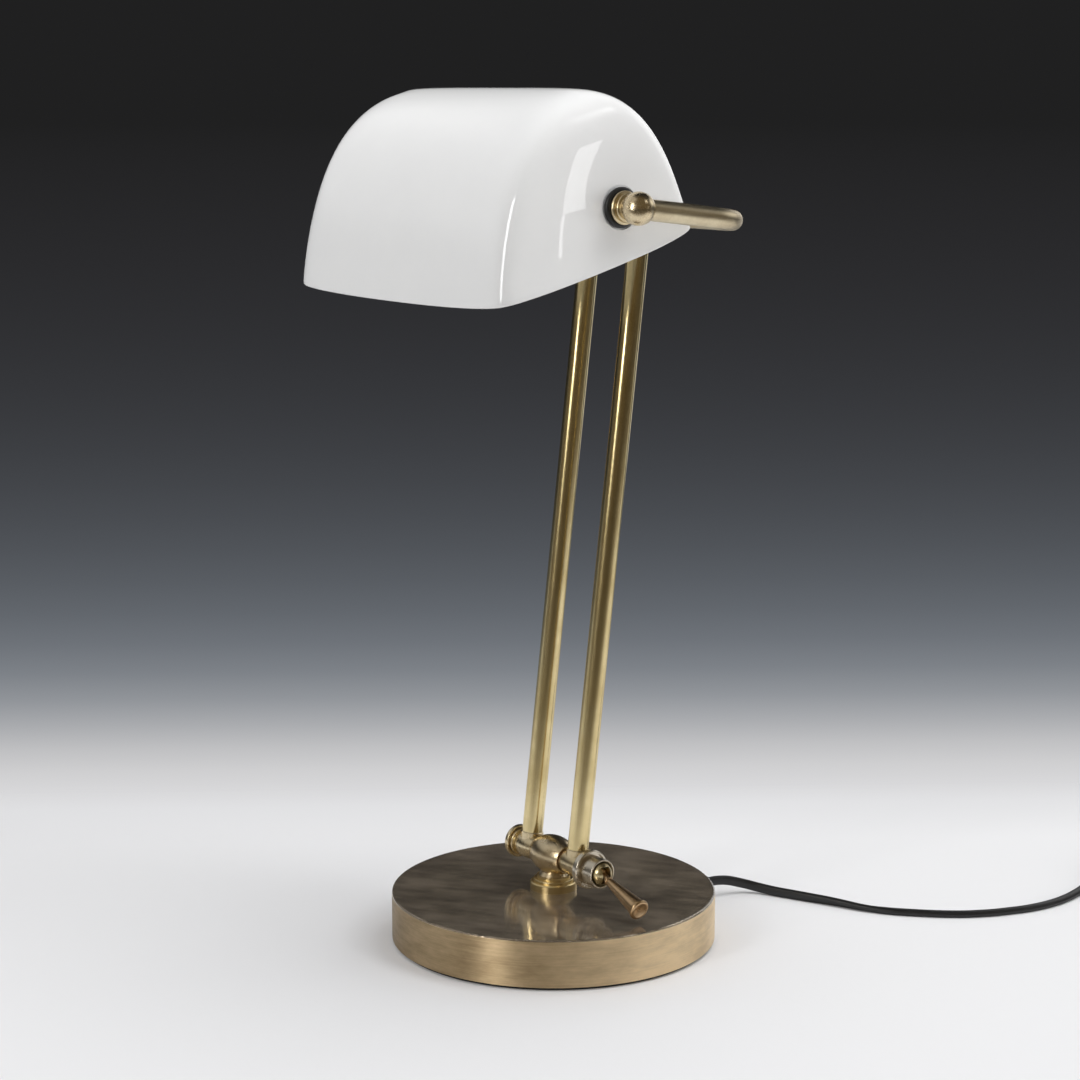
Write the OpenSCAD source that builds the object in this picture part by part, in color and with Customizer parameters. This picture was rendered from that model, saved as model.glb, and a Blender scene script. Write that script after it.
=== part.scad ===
// Desk lamp: an opal glass shade in a bent yoke, on two tubes that tilt over a round weighted base.
// Millimetres, +Z up. The origin is the middle of the base's underside. The front faces -Y.

/* [Base] */
// Diameter of the base
base_d = 202; // [160:1:240]
// Height of the base's top face above the desk
base_h = 31.2; // [28:0.2:45]
// Thickness of the felt pad
pad_t = 2; // [1:0.5:4]
// How far the pad's edge stays in from the rim
pad_inset = 2.5; // [1:0.5:10]
// Wall of the spun base shell
shell_wall = 1.6; // [1:0.1:3]
// Radius of the shell's rounded top edge
shell_edge_r = 1.2; // [1:0.2:4]
// Thickness of the plate that closes the underside
plate_t = 1.5; // [1:0.1:3]
// Thickness of the cast weight
weight_t = 12; // [6:0.5:13]

/* [Stem and knuckle] */
// Diameter of the threaded stem and of the cross spindle
stem_d = 10; // [8:0.5:11]
// Bore for the wires in stem and spindle
wire_bore = 6.4; // [4:0.2:7]
// Thickness of the nut under the weight
stem_nut_t = 5; // [3:0.5:6]
// Width across the flats of that nut
stem_nut_af = 17; // [14:0.5:22]
// Thickness of the washer under the weight
stem_washer_t = 1.5; // [1:0.1:2]
// Diameter of that washer
stem_washer_d = 30; // [24:1:40]
// Diameter of the stepped collar on the base
collar_d = 29.2; // [25:0.2:36]
// Height of the collar
collar_h = 8.8; // [6:0.2:9]
// Width of each of the collar's two steps
collar_step = 2.1; // [1:0.1:2.5]
// Height of the barrel axis above the base's top
axis_rise = 21.5; // [20:0.1:40]
// Diameter of the knuckle's ball
ball_d = 24.4; // [22:0.2:28]
// Half of the ball's length along the barrel axis
ball_half = 14.4; // [12:0.1:17]
// Radius of the arc that the ball is turned to
ball_arc_r = 29; // [22:0.5:36]
// Diameter of the knuckle's foot
knuckle_foot_d = 18.4; // [16:0.2:20]

/* [Barrels] */
// Thickness of the fibre washers beside the ball
joint_washer_t = 0.8; // [0.5:0.1:2]
// Diameter of those washers
joint_washer_d = 12.8; // [12:0.2:14]
// Length of each barrel
barrel_len = 17.6; // [16:0.1:24]
// Largest diameter of a barrel
barrel_d = 16.6; // [16:0.2:20]
// Radius of the arc that a barrel is turned to
barrel_arc_r = 36; // [30:1:90]
// Length of the barrel's bearing on the spindle
bearing_len = 5; // [4:0.5:7]
// Diameter of the chamber inside a barrel
chamber_d = 12.8; // [12.4:0.1:13.2]
// Thickness of the ring nuts on the spindle
spindle_nut_t = 2.8; // [2:0.2:3.4]
// Height of the tube socket above the barrel axis
socket_h = 9.4; // [9.2:0.1:12]
// Wall of the tube socket
socket_wall = 0.6; // [0.6:0.1:2]
// Diameter of the far end flange
flange_d = 20.8; // [19:0.2:24]
// Thickness of the end flanges
flange_t = 3.4; // [2.4:0.2:5]
// Diameter of the thin ring behind each flange
bead_d = 17.8; // [16.8:0.2:19]
// Thickness of that ring
bead_t = 1.6; // [1:0.1:2.4]
// Length of the spigot that holds a flange in its barrel
spigot_len = 2.6; // [2:0.2:5]

/* [Switch] */
// Diameter of the flange behind the switch
switch_flange_d = 24.2; // [20:0.2:27]
// Thickness of the flange behind the switch
switch_flange_t = 4.6; // [3:0.2:7]
// Diameter of the ring nut round the toggle
switch_ring_d = 18.2; // [16:0.2:20]
// Thickness of the ring nut
switch_ring_t = 10.8; // [8:0.2:13]
// Diameter of the slotted dome inside the ring
dome_d = 14.2; // [12:0.2:15]
// Diameter of the toggle's ball
toggle_ball_d = 7.2; // [6:0.2:8]
// Diameter of the cross pin through the toggle's ball
toggle_pin_d = 1.6; // [1:0.1:2]
// Length of the lever from the middle of its ball to its end
lever_len = 41.5; // [34:0.1:48]
// Diameter of the lever's neck
lever_neck_d = 4.6; // [3.6:0.2:6]
// Diameter of the lever's end
lever_end_d = 13; // [9:0.2:14]
// Angle of the lever below level
lever_droop = 18.4; // [8:0.1:20]

/* [Arm and yoke] */
// Diameter of the arm tubes
tube_d = 13; // [11:0.2:13.2]
// Wall of the arm tubes and of the yoke
tube_wall = 1; // [0.6:0.1:1.6]
// Length of the arm from the barrel axis to the yoke's crossbar
arm_len = 399; // [300:1:480]
// Angle of the arm back from upright
arm_lean = 6.8; // [0:0.1:20]
// Diameter of the yoke tube
yoke_d = 12; // [10:0.2:14]
// Radius of the yoke's bends
yoke_bend_r = 27; // [16:0.5:40]
// Reach of the yoke from its crossbar to the shade's pivot
yoke_reach = 82.3; // [76:0.1:110]
// Length of the tees on the crossbar
tee_len = 24; // [18:0.5:34]
// Wall of the tees
tee_wall = 1.6; // [1:0.1:3]
// Depth of the tube in its tee
tee_depth = 9; // [8:0.5:20]

/* [Shade pivot] */
// Diameter of the balls at the ends of the yoke
yoke_ball_d = 18.8; // [17:0.2:24]
// Diameter of the hollow pivot pins
nipple_d = 10; // [8:0.2:11]
// Bore of the pivot pins
nipple_bore = 7; // [4:0.2:7.4]
// Diameter of the pivot collar's wide ring
pivot_collar_d = 19; // [17:0.2:22]
// Thickness of the wide ring
pivot_collar_t = 3; // [2.4:0.1:6]
// Diameter of the pivot collar's narrow ring
pivot_step_d = 16; // [14:0.2:17]
// Thickness of the narrow ring
pivot_step_t = 2.4; // [2:0.1:5]
// Length of the neck between the ball and the rings
pivot_neck_t = 1.3; // [1:0.1:4]
// Diameter of the black outer washers
outer_washer_d = 22.8; // [20:0.2:26]
// Thickness of the black outer washers
outer_washer_t = 3.6; // [1.4:0.1:4.5]
// Diameter of the inner washers
inner_washer_d = 20; // [16:0.2:24]
// Thickness of the inner washers
inner_washer_t = 2; // [1:0.1:3]
// Thickness of the lock nuts
lock_nut_t = 4; // [3:0.2:6]
// Width across the flats of the lock nuts
lock_nut_af = 14; // [13:0.5:18]

/* [Shade] */
// Half of the shade's width at its rim
shade_half_w = 110.9; // [95:0.1:125]
// Depth of the shade in front of its ridge
shade_front = 93.3; // [85:0.1:120]
// Depth of the shade behind its ridge
shade_rear = 49; // [42:0.5:60]
// Height of the shade above its rim
shade_h = 92.8; // [80:0.1:110]
// Thickness of the glass
glass_t = 4; // [3:0.2:5.6]
// Height of the pivot above the rim
pivot_rise = 26.8; // [20:0.1:32]
// How far the ridge lies behind the pivot
ridge_back = 0.4; // [-4:0.1:8]
// How far the rim sags between its corners
rim_sag = 3.5; // [0:0.1:6]
// Angle of the shade's front edge below level
shade_tilt = 16.6; // [0:0.1:30]

/* [Lampholder and bulb] */
// Outer diameter of the lampholder
holder_d = 39; // [36:0.5:42]
// Length of the lampholder's cap
cap_len = 13; // [10:0.5:18]
// Length of the lampholder's shell
holder_len = 33; // [28:0.5:38]
// Wall of the lampholder
holder_wall = 1.8; // [1.2:0.1:3]
// Diameter of the bulb's screw cap
bulb_cap_d = 26.4; // [24:0.1:27]
// Length of the bulb's screw cap
bulb_cap_len = 25; // [22:0.5:28]
// Diameter of the bulb
bulb_d = 45; // [40:0.5:50]
// Length of the bulb's glass
bulb_len = 54; // [48:0.5:60]

/* [Cord and plug] */
// Width of the flat cord
cord_w = 6.3; // [5:0.1:6.6]
// Thickness of the flat cord
cord_t = 4; // [3:0.1:4.2]
// Height of the gland's middle above the desk
gland_h = 11; // [10:0.5:16]
// Length of the tapered strain relief
relief_len = 22; // [20:1:40]
// Diameter of the gland's flange
gland_d = 14; // [12:0.5:16]
// Thickness of the gland's flange
gland_flange_t = 2; // [1:0.2:3]
// Diameter of the gland's neck in the wall
gland_neck_d = 10; // [8:0.5:11]
// Length of the plug's body
plug_len = 36; // [30:1:44]
// Width of the plug's body
plug_w = 35.2; // [30:0.2:40]
// Diameter of the plug's pins
pin_d = 4; // [3:0.1:5]
// Length of the plug's pins
pin_len = 19; // [14:0.5:22]
// Distance between the plug's pins
pin_pitch = 18.6; // [15:0.2:19]

/* [Hidden] */
$fn = 64;

// Colours, as they look on the lamp
brass = "#8f7a4a";
dark_brass = "#6f5f45";
black = "#1c1c1c";
opal = "#f2f1ec";
steel = "#9a9a98";

// Gap per side of a piece that turns on a pin, and of a piece that is fixed in another
slip = 0.05;
seat = 0.03;
// Gap between faces that move past each other
move_gap = 0.3;
// Gap per side of a loose inner piece
loose = 0.2;
// A cut passes this far beyond the face it opens
over = 1;

base_r = base_d / 2;
pad_r = base_r - pad_inset;
stem_r = stem_d / 2;
axis_h = base_h + axis_rise;
plate_top = pad_t + plate_t;
weight_bottom = base_h - shell_wall - weight_t;
inner_r = base_r - shell_wall - slip;
stem_nut_top = weight_bottom - stem_washer_t;
stem_end_gap = 1.5;
stem_foot = stem_nut_top - stem_nut_t - stem_end_gap;
collar_top = base_h + collar_h;
stem_top = axis_h - stem_r - stem_end_gap;

// Places along the barrel axis, counted from the middle
barrel_in = ball_half + joint_washer_t;
barrel_out = barrel_in + barrel_len;
tube_x = barrel_in + barrel_len / 2;
chamber_in = barrel_in + bearing_len;
nut_in = chamber_in + slip;
nut_out = nut_in + spindle_nut_t;
groove_t = 0.8;
flange_in = barrel_out + bead_t + groove_t;
flange_out = flange_in + flange_t;
switch_face = flange_in + switch_flange_t;
ring_out = switch_face + switch_ring_t;
toggle_sink = 2.1;
toggle_x = ring_out - toggle_sink;
toggle_bore_d = toggle_ball_d + 2 * move_gap;
chamber_r = chamber_d / 2;
socket_seat = chamber_r + 0.6;

// Places along the shade's pivot axis, counted from the middle and from the ball inwards
shade_taper = 0.048;
seat_sink = 0.9;
pivot_level = (pivot_rise + rim_sag / 2) / shade_h;
glass_face = round(100 * shade_half_w * (1 - shade_taper * pivot_level)) / 100 - seat_sink;
glass_seat_t = glass_t - seat_sink - 0.4;
glass_inside = glass_face - glass_seat_t;
ball_flat = sqrt(pow(yoke_ball_d / 2, 2) - pow(yoke_ball_d / 2 - 3, 2));
collar_in = glass_face + outer_washer_t;
step_in = collar_in + pivot_collar_t;
neck_in = step_in + pivot_step_t;
ball_face = neck_in + pivot_neck_t;
yoke_half = ball_face + ball_flat;
lock_nut_out = glass_inside - inner_washer_t;
lock_nut_in = lock_nut_out - lock_nut_t;
holder_top = lock_nut_in;
left_nipple_end = lock_nut_in - 1;
right_nipple_end = holder_top - 3;
// The yoke's tube stops, and the pivot pin reaches, this far from the middle of the ball
yoke_end = yoke_ball_d / 4;
nipple_hold = 2;
// Outside of the sleeve that lines the hole in the glass
sleeve_r = nipple_d / 2 + 1.4;

// Ends of the arm tubes, along the arm
tube_foot = socket_seat + seat;
tube_top = arm_len - yoke_d / 2 - tee_wall;

// Places along the bulb, counted the same way
holder_mid = holder_top - cap_len;
holder_end = holder_mid - holder_len;
insert_t = 10;
contact_face = holder_mid - insert_t;
bulb_cap_end = contact_face - bulb_cap_len;
bulb_end = bulb_cap_end - bulb_len;
bulb_wall = 1.2;

// Turning pieces are drawn along Z and laid along X here
module along_x(start) {
    translate([start, 0, 0]) rotate([0, 90, 0]) children();
}

// The arm's frame: origin on the barrel axis, +Z along the arm
module in_arm() {
    translate([0, 0, axis_h]) rotate([-arm_lean, 0, 0]) children();
}

// The pivot's frame: origin on the shade's pivot axis, in the middle of the lamp
module in_pivot() {
    in_arm() translate([0, -yoke_reach, arm_len]) rotate([arm_lean, 0, 0]) children();
}

// The shade's frame: as the pivot's, turned with the shade
module in_shade() {
    in_pivot() rotate([shade_tilt, 0, 0]) children();
}

// The other side of the lamp
module on_left() {
    mirror([1, 0, 0]) children();
}

// A turned disc with a fully rounded rim
module round_disc(r, t) {
    rotate_extrude() {
        square([r - t / 2, t]);
        translate([r - t / 2, t / 2]) circle(t / 2);
    }
}

// A turned disc with softened edges
module soft_disc(r, t, soft) {
    rotate_extrude() {
        square([r - soft, t]);
        translate([0, soft]) square([r, t - 2 * soft]);
        for (y = [soft, t - soft]) translate([r - soft, y]) circle(soft);
    }
}

// A plain ring
module ring(r_out, r_in, t) {
    difference() {
        cylinder(r = r_out, h = t);
        translate([0, 0, -over]) cylinder(r = r_in, h = t + 2 * over);
    }
}

// A hexagon nut on a round bore
module hex_nut(af, r_in, t) {
    difference() {
        cylinder(d = af / cos(30), h = t, $fn = 6);
        translate([0, 0, -over]) cylinder(r = r_in, h = t + 2 * over);
    }
}

// Half outline of a belly turned to an arc, from one end of its length to the other
module belly_outline(r_mid, half_len, arc_r) {
    intersection() {
        translate([r_mid - arc_r, 0]) circle(arc_r, $fn = 128);
        translate([0, -half_len]) square([r_mid, 2 * half_len]);
    }
}

// Half outline of a ball, from one height to another
module ball_outline(r, low, high) {
    intersection() {
        circle(r);
        translate([0, low]) square([r, high - low]);
    }
}

// Base

module base_shell() {
    edge = shell_edge_r;
    color(dark_brass) difference() {
        translate([0, 0, pad_t]) rotate_extrude($fn = 128) difference() {
            union() {
                square([base_r, base_h - pad_t - edge]);
                square([base_r - edge, base_h - pad_t]);
                translate([base_r - edge, base_h - pad_t - edge]) circle(edge);
            }
            square([base_r - shell_wall, base_h - pad_t - shell_wall]);
            square([stem_r + slip, base_h]);
        }
        translate([0, base_r - 2 * shell_wall, gland_h])
            rotate([-90, 0, 0]) cylinder(d = gland_neck_d + 2 * slip, h = 4 * shell_wall);
    }
}

module base_weight() {
    color("dimgray") translate([0, 0, weight_bottom]) difference() {
        cylinder(r = inner_r, h = weight_t, $fn = 128);
        translate([0, 0, -over]) cylinder(r = stem_r + slip, h = weight_t + 2 * over);
    }
}

module base_plate() {
    color(steel) translate([0, 0, pad_t]) cylinder(r = inner_r, h = plate_t, $fn = 128);
}

module felt_pad() {
    color(black) cylinder(r = pad_r, h = pad_t, $fn = 128);
}

module stem() {
    color(steel) translate([0, 0, stem_foot]) ring(stem_r, wire_bore / 2, stem_top - stem_foot);
}

module stem_nut() {
    color(steel) translate([0, 0, stem_nut_top - stem_nut_t])
        hex_nut(stem_nut_af, stem_r + seat, stem_nut_t);
}

module stem_washer() {
    color(steel) translate([0, 0, stem_nut_top])
        ring(stem_washer_d / 2, stem_r + seat, stem_washer_t);
}

// Two steps rise from the drum to the knuckle's foot, each with a softened edge
module collar() {
    r = collar_d / 2;
    soft = 0.7;
    drum_h = collar_h * 0.58;
    step_h = (collar_h - drum_h) / 2;
    color(brass) translate([0, 0, base_h]) rotate_extrude() difference() {
        union() {
            polygon([[0, 0], [r, 0], [r, drum_h - soft], [r - soft, drum_h], [0, drum_h]]);
            square([r - collar_step, drum_h + step_h - soft]);
            translate([r - collar_step - soft, drum_h + step_h - soft]) circle(soft);
            square([r - collar_step - soft, drum_h + step_h]);
            square([r - 2 * collar_step, collar_h]);
        }
        square([stem_r + seat, collar_h]);
    }
}

// An olive lying along the barrel axis, on a flared foot
module knuckle() {
    foot_r = knuckle_foot_d / 2;
    waist_r = foot_r - 1.6;
    waist_h = 2.4;
    color(brass) difference() {
        union() {
            translate([0, 0, axis_h]) rotate([0, 90, 0]) rotate_extrude()
                belly_outline(ball_d / 2, ball_half, ball_arc_r);
            translate([0, 0, collar_top]) {
                cylinder(r1 = foot_r, r2 = waist_r, h = waist_h);
                cylinder(r = waist_r, h = axis_h - collar_top);
            }
        }
        translate([0, 0, collar_top - over]) cylinder(r = stem_r + seat, h = stem_top - collar_top + over);
        cylinder(d = wire_bore, h = axis_h);
        translate([0, 0, axis_h]) along_x(-ball_half - over)
            cylinder(r = stem_r + seat, h = 2 * (ball_half + over));
    }
}

module spindle() {
    color(steel) translate([0, 0, axis_h]) difference() {
        along_x(-nut_out) ring(stem_r, wire_bore / 2, 2 * nut_out);
        translate([0, 0, -stem_d]) cylinder(d = wire_bore - 0.8, h = stem_d);
    }
}

module spindle_nut() {
    along_x(nut_in) ring(chamber_r - move_gap, stem_r + seat, spindle_nut_t);
}

module spindle_nuts() {
    color(steel) translate([0, 0, axis_h]) {
        spindle_nut();
        on_left() spindle_nut();
    }
}

module joint_washer() {
    along_x(ball_half) ring(joint_washer_d / 2, stem_r + seat, joint_washer_t);
}

module joint_washers() {
    color("saddlebrown") translate([0, 0, axis_h]) {
        joint_washer();
        on_left() joint_washer();
    }
}

// Arm

// A turned sleeve: bearing, chamber and the socket that a tube stands in
module barrel() {
    mid = barrel_len / 2;
    socket_r = tube_d / 2 + socket_wall;
    socket_soft = 0.6;
    difference() {
        union() {
            along_x(tube_x) rotate_extrude() belly_outline(barrel_d / 2, mid, barrel_arc_r);
            translate([tube_x, 0, 0]) {
                cylinder(r = socket_r, h = socket_h - socket_soft);
                translate([0, 0, socket_h - socket_soft])
                    cylinder(r1 = socket_r, r2 = socket_r - socket_soft, h = socket_soft);
            }
        }
        along_x(barrel_in - over) cylinder(r = stem_r + slip, h = barrel_len);
        along_x(chamber_in) cylinder(r = chamber_r, h = barrel_len);
        translate([tube_x, 0, socket_seat]) cylinder(d = tube_d + 2 * seat, h = socket_h);
        translate([tube_x, 0, 0]) cylinder(d = wire_bore, h = socket_h);
    }
}

module left_barrel() {
    color(brass) in_arm() on_left() barrel();
}

module right_barrel() {
    color(brass) in_arm() barrel();
}

// Spigot, thin ring, groove and a flange with a dished back, turned in one piece
module end_flange(d, t) {
    groove_r = bead_d / 2 - bead_t;
    soft = 0.9;
    lip = 1.5;
    dish = 1;
    along_x(barrel_out - spigot_len) cylinder(r = chamber_r - seat, h = spigot_len + bead_t + groove_t);
    along_x(barrel_out) round_disc(bead_d / 2, bead_t);
    along_x(barrel_out + bead_t / 2) cylinder(r = groove_r, h = flange_in - barrel_out + dish);
    along_x(flange_in) difference() {
        soft_disc(d / 2, t, soft);
        translate([0, 0, -over]) ring(d / 2 - lip, groove_r - dish / 2, dish + over);
    }
}

// The far cap ends in a low dome
module left_end_cap() {
    dome_h = 1.6;
    dome_r = flange_d / 2 - flange_t / 2 - 0.8;
    sphere_r = (dome_r * dome_r + dome_h * dome_h) / (2 * dome_h);
    color(brass) in_arm() on_left() {
        end_flange(flange_d, flange_t);
        along_x(flange_out + dome_h - sphere_r) rotate_extrude()
            ball_outline(sphere_r, sphere_r - dome_h, sphere_r);
    }
}

// The face of this flange is dished round the cup that stands on it
module switch_flange() {
    lip = 1.4;
    dish = 1.5;
    color(brass) in_arm() difference() {
        end_flange(switch_flange_d, switch_flange_t);
        along_x(barrel_out - spigot_len - over) cylinder(d = toggle_bore_d, h = switch_face);
        along_x(switch_face - dish) ring(switch_flange_d / 2 - lip, switch_ring_d / 2, dish + over);
    }
}

// A cup with a rounded lip. In it stands the dome, which is hollow for the toggle's ball and slotted
// for the lever's neck.
module switch_ring() {
    r = switch_ring_d / 2;
    dome_r = dome_d / 2;
    bore_r = toggle_bore_d / 2;
    lip = 1.3;
    cup_floor = 5;
    depth = toggle_x - switch_face;
    color(brass) in_arm() difference() {
        along_x(switch_face) rotate_extrude() difference() {
            union() {
                square([r, cup_floor]);
                translate([r - lip, 0]) square([lip, switch_ring_t - lip / 2]);
                translate([r - lip / 2, switch_ring_t - lip / 2]) circle(lip / 2);
                square([dome_r, depth]);
                translate([0, depth]) ball_outline(dome_r, 0, dome_r);
            }
            translate([0, depth]) ball_outline(bore_r, 0, bore_r);
            translate([0, -over]) square([bore_r, depth + over]);
        }
        translate([toggle_x, 0, 0]) toggle_turn() {
            rotate([90, 0, 0]) cylinder(d = toggle_pin_d + 2 * seat, h = dome_d - 1.2, center = true);
            lever_slot();
        }
    }
}

// Room for the neck from below its place at rest to the same angle above level
module lever_slot() {
    half_w = lever_neck_d / 2 + 2 * move_gap;
    reach = dome_d;
    spread = half_w + reach * tan(lever_droop + 8);
    rotate([90, 0, 0]) linear_extrude(2 * half_w, center = true)
        polygon([[0, -half_w], [reach, -spread], [reach, spread], [0, half_w]]);
}

// The toggle moves up and down with the lamp at rest, so its pin lies level
module toggle_turn() {
    rotate([arm_lean, 0, 0]) children();
}

module toggle_pin() {
    color(steel) in_arm() translate([toggle_x, 0, 0]) toggle_turn() rotate([90, 0, 0])
        cylinder(d = toggle_pin_d, h = dome_d - 1.6, center = true);
}

module switch_body() {
    neck_end = switch_face - 0.8;
    body_len = 4.4;
    color("#2b2b2b") in_arm() {
        along_x(barrel_out - spigot_len - body_len) cylinder(r = chamber_r - seat, h = body_len);
        along_x(barrel_out - spigot_len - over)
            cylinder(d = toggle_bore_d - 2 * loose, h = neck_end - barrel_out + spigot_len + over);
    }
}

// Ball, neck with a thin ring, bat-shaped grip with a rim, and a hollowed end with a point in its middle
module switch_lever() {
    ball_r = toggle_ball_d / 2;
    neck_r = lever_neck_d / 2;
    end_r = lever_end_d / 2;
    rim_t = 3;
    rim_x = end_r - rim_t / 2;
    bowl_r = rim_x - 0.3;
    bowl_h = 1.1;
    bowl_sphere = (bowl_r * bowl_r + bowl_h * bowl_h) / (2 * bowl_h);
    rim_y = lever_len - rim_t;
    neck_len = dome_d / 2 + 1;
    bead_r = 0.6;
    color(brass) in_arm() translate([toggle_x, 0, 0]) toggle_turn() rotate([0, lever_droop, 0])
        difference() {
            along_x(0) rotate_extrude() {
                ball_outline(ball_r, -ball_r, ball_r);
                difference() {
                    union() {
                        polygon([[0, 0], [neck_r, 0], [neck_r, neck_len], [end_r - 0.9, rim_y], [0, rim_y]]);
                        translate([neck_r, neck_len + bead_r]) circle(bead_r);
                        translate([0, rim_y - over]) square([rim_x, rim_t + over]);
                        translate([rim_x, rim_y + rim_t / 2]) circle(rim_t / 2);
                    }
                    translate([0, lever_len - bowl_h + bowl_sphere])
                        ball_outline(bowl_sphere, -bowl_sphere, 0);
                }
                translate([0, rim_y]) polygon([[0, 0], [1.8, 0], [1.2, rim_t - 0.8], [0.4, rim_t], [0, rim_t]]);
            }
            rotate([90, 0, 0]) cylinder(d = toggle_pin_d + 2 * slip, h = toggle_ball_d + 2, center = true);
        }
}

module arm_tube() {
    translate([tube_x, 0, tube_foot]) ring(tube_d / 2, tube_d / 2 - tube_wall, tube_top - tube_foot);
}

module left_arm_tube() {
    color(brass) in_arm() on_left() arm_tube();
}

module right_arm_tube() {
    color(brass) in_arm() arm_tube();
}

// A sleeve on the crossbar with a socket below for the tube, each end with a bead
module tee() {
    sleeve_r = yoke_d / 2 + tee_wall;
    socket_r = tube_d / 2 + tee_wall;
    bead = 2;
    difference() {
        union() {
            translate([0, 0, arm_len]) {
                along_x(tube_x - tee_len / 2) cylinder(r = sleeve_r, h = tee_len);
                for (side = [0, 1])
                    along_x(tube_x - tee_len / 2 + side * (tee_len - bead)) round_disc(sleeve_r + 0.7, bead);
            }
            translate([tube_x, 0, tube_top - tee_depth]) {
                cylinder(r = socket_r, h = arm_len - tube_top + tee_depth);
                round_disc(socket_r + 0.7, bead);
            }
        }
        translate([0, 0, arm_len]) along_x(tube_x - tee_len / 2 - over)
            cylinder(d = yoke_d + 2 * seat, h = tee_len + 2 * over);
        translate([tube_x, 0, tube_top - tee_depth - over])
            cylinder(d = tube_d + 2 * seat, h = tee_depth + over + seat);
        translate([tube_x, 0, tube_top - over]) cylinder(d = wire_bore, h = yoke_d / 2 + over);
    }
}

module left_tee() {
    color(brass) in_arm() on_left() tee();
}

module right_tee() {
    color(brass) in_arm() tee();
}

// Crossbar, two bends and two side arms, hollow all the way
module yoke_section() {
    difference() {
        circle(d = yoke_d);
        circle(d = yoke_d - 2 * tube_wall);
    }
}

module yoke_side() {
    bar = yoke_half - yoke_bend_r;
    side_len = yoke_reach - yoke_bend_r - yoke_end;
    translate([bar, -yoke_bend_r, 0]) rotate_extrude(angle = 90) translate([yoke_bend_r, 0]) yoke_section();
    translate([yoke_half, -yoke_bend_r, 0]) rotate([90, 0, 0]) linear_extrude(side_len) yoke_section();
}

module yoke_tube() {
    bar = yoke_half - yoke_bend_r;
    color(brass) in_arm() translate([0, 0, arm_len]) difference() {
        union() {
            along_x(-bar) linear_extrude(2 * bar) yoke_section();
            yoke_side();
            on_left() yoke_side();
        }
        for (side = [-1, 1]) translate([side * tube_x, 0, -yoke_d]) cylinder(d = wire_bore, h = yoke_d);
    }
}

// A turned ball with a flat towards the shade, bored for the pivot pin and for the yoke
module yoke_ball() {
    r = yoke_ball_d / 2;
    translate([yoke_half, 0, 0]) difference() {
        along_x(0) rotate_extrude() difference() {
            ball_outline(r, -ball_flat, r);
            translate([0, -r]) square([nipple_d / 2 + seat, r + nipple_hold]);
        }
        rotate([-arm_lean - 90, 0, 0]) translate([0, 0, yoke_end - seat])
            cylinder(d = yoke_d + 2 * seat, h = yoke_ball_d);
    }
}

module left_yoke_ball() {
    color(brass) in_pivot() on_left() yoke_ball();
}

module right_yoke_ball() {
    color(brass) in_pivot() yoke_ball();
}

// Wide ring against the washer, narrow ring and neck, turned in one piece
module pivot_collar() {
    bore_r = nipple_d / 2 + seat;
    difference() {
        union() {
            along_x(collar_in) round_disc(pivot_collar_d / 2, pivot_collar_t);
            along_x(collar_in) cylinder(d = pivot_collar_d - pivot_collar_t, h = pivot_collar_t);
            along_x(step_in) round_disc(pivot_step_d / 2, pivot_step_t);
            along_x(step_in) cylinder(d = pivot_step_d - pivot_step_t, h = ball_face - step_in);
        }
        along_x(collar_in - over) cylinder(r = bore_r, h = ball_face - collar_in + 2 * over);
    }
}

module left_pivot_collar() {
    color(brass) in_pivot() on_left() pivot_collar();
}

module right_pivot_collar() {
    color(brass) in_pivot() pivot_collar();
}

module nipple(inner_end) {
    along_x(inner_end) ring(nipple_d / 2, nipple_bore / 2, yoke_half + nipple_hold - inner_end);
}

module left_nipple() {
    color(steel) in_pivot() on_left() nipple(left_nipple_end);
}

module right_nipple() {
    color(steel) in_pivot() nipple(right_nipple_end);
}

module lock_nut() {
    along_x(lock_nut_in) hex_nut(lock_nut_af, nipple_d / 2 + seat, lock_nut_t);
}

module left_lock_nut() {
    color(steel) in_pivot() on_left() lock_nut();
}

module right_lock_nut() {
    color(steel) in_pivot() lock_nut();
}

// Shade

// Washer with a sleeve that lines the hole in the glass and turns on the pivot pin
module outer_washer() {
    difference() {
        union() {
            along_x(glass_face) round_disc(outer_washer_d / 2, outer_washer_t);
            along_x(glass_inside) cylinder(r = sleeve_r, h = glass_face - glass_inside + outer_washer_t / 2);
        }
        along_x(glass_inside - over)
            cylinder(r = nipple_d / 2 + slip, h = collar_in - glass_inside + 2 * over);
    }
}

module left_outer_washer() {
    color(black) in_shade() on_left() outer_washer();
}

module right_outer_washer() {
    color(black) in_shade() outer_washer();
}

module inner_washer() {
    along_x(lock_nut_out) ring(inner_washer_d / 2, nipple_d / 2 + slip, inner_washer_t);
}

module left_inner_washer() {
    color(black) in_shade() on_left() inner_washer();
}

module right_inner_washer() {
    color(black) in_shade() inner_washer();
}

// The glass: at each height its outline is a rounded oblong, squarer at the rim, that draws in
// towards the ridge. The front flares out further than the rear, and the rim sags between its corners.
shade_around = 64;
shade_rings = 18;
ring_crowd = 2.2;
corner_crowd = 10.5;
corner_rim = 13.9;
corner_top = 3.9;
corner_fade = 0.68;
// How each wall draws in: how late it starts to, and how round it ends
arch_end = [6.4, 11.5];
arch_front = [1.1, 2.35];
arch_rear = [3, 2.14];
sag_curve = 2.5;
sag_fade = 2.1;

function shade_level(i) = 1 - pow(1 - i / shade_rings, ring_crowd);
function drawn_in(k, arch) = pow(1 - pow(k, arch[0]), 1 / arch[1]);

// Direction of outline point j, with more points at the corners
function shade_dir(j) = let (a = 360 * j / shade_around) a + corner_crowd * sin(4 * a);

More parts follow.
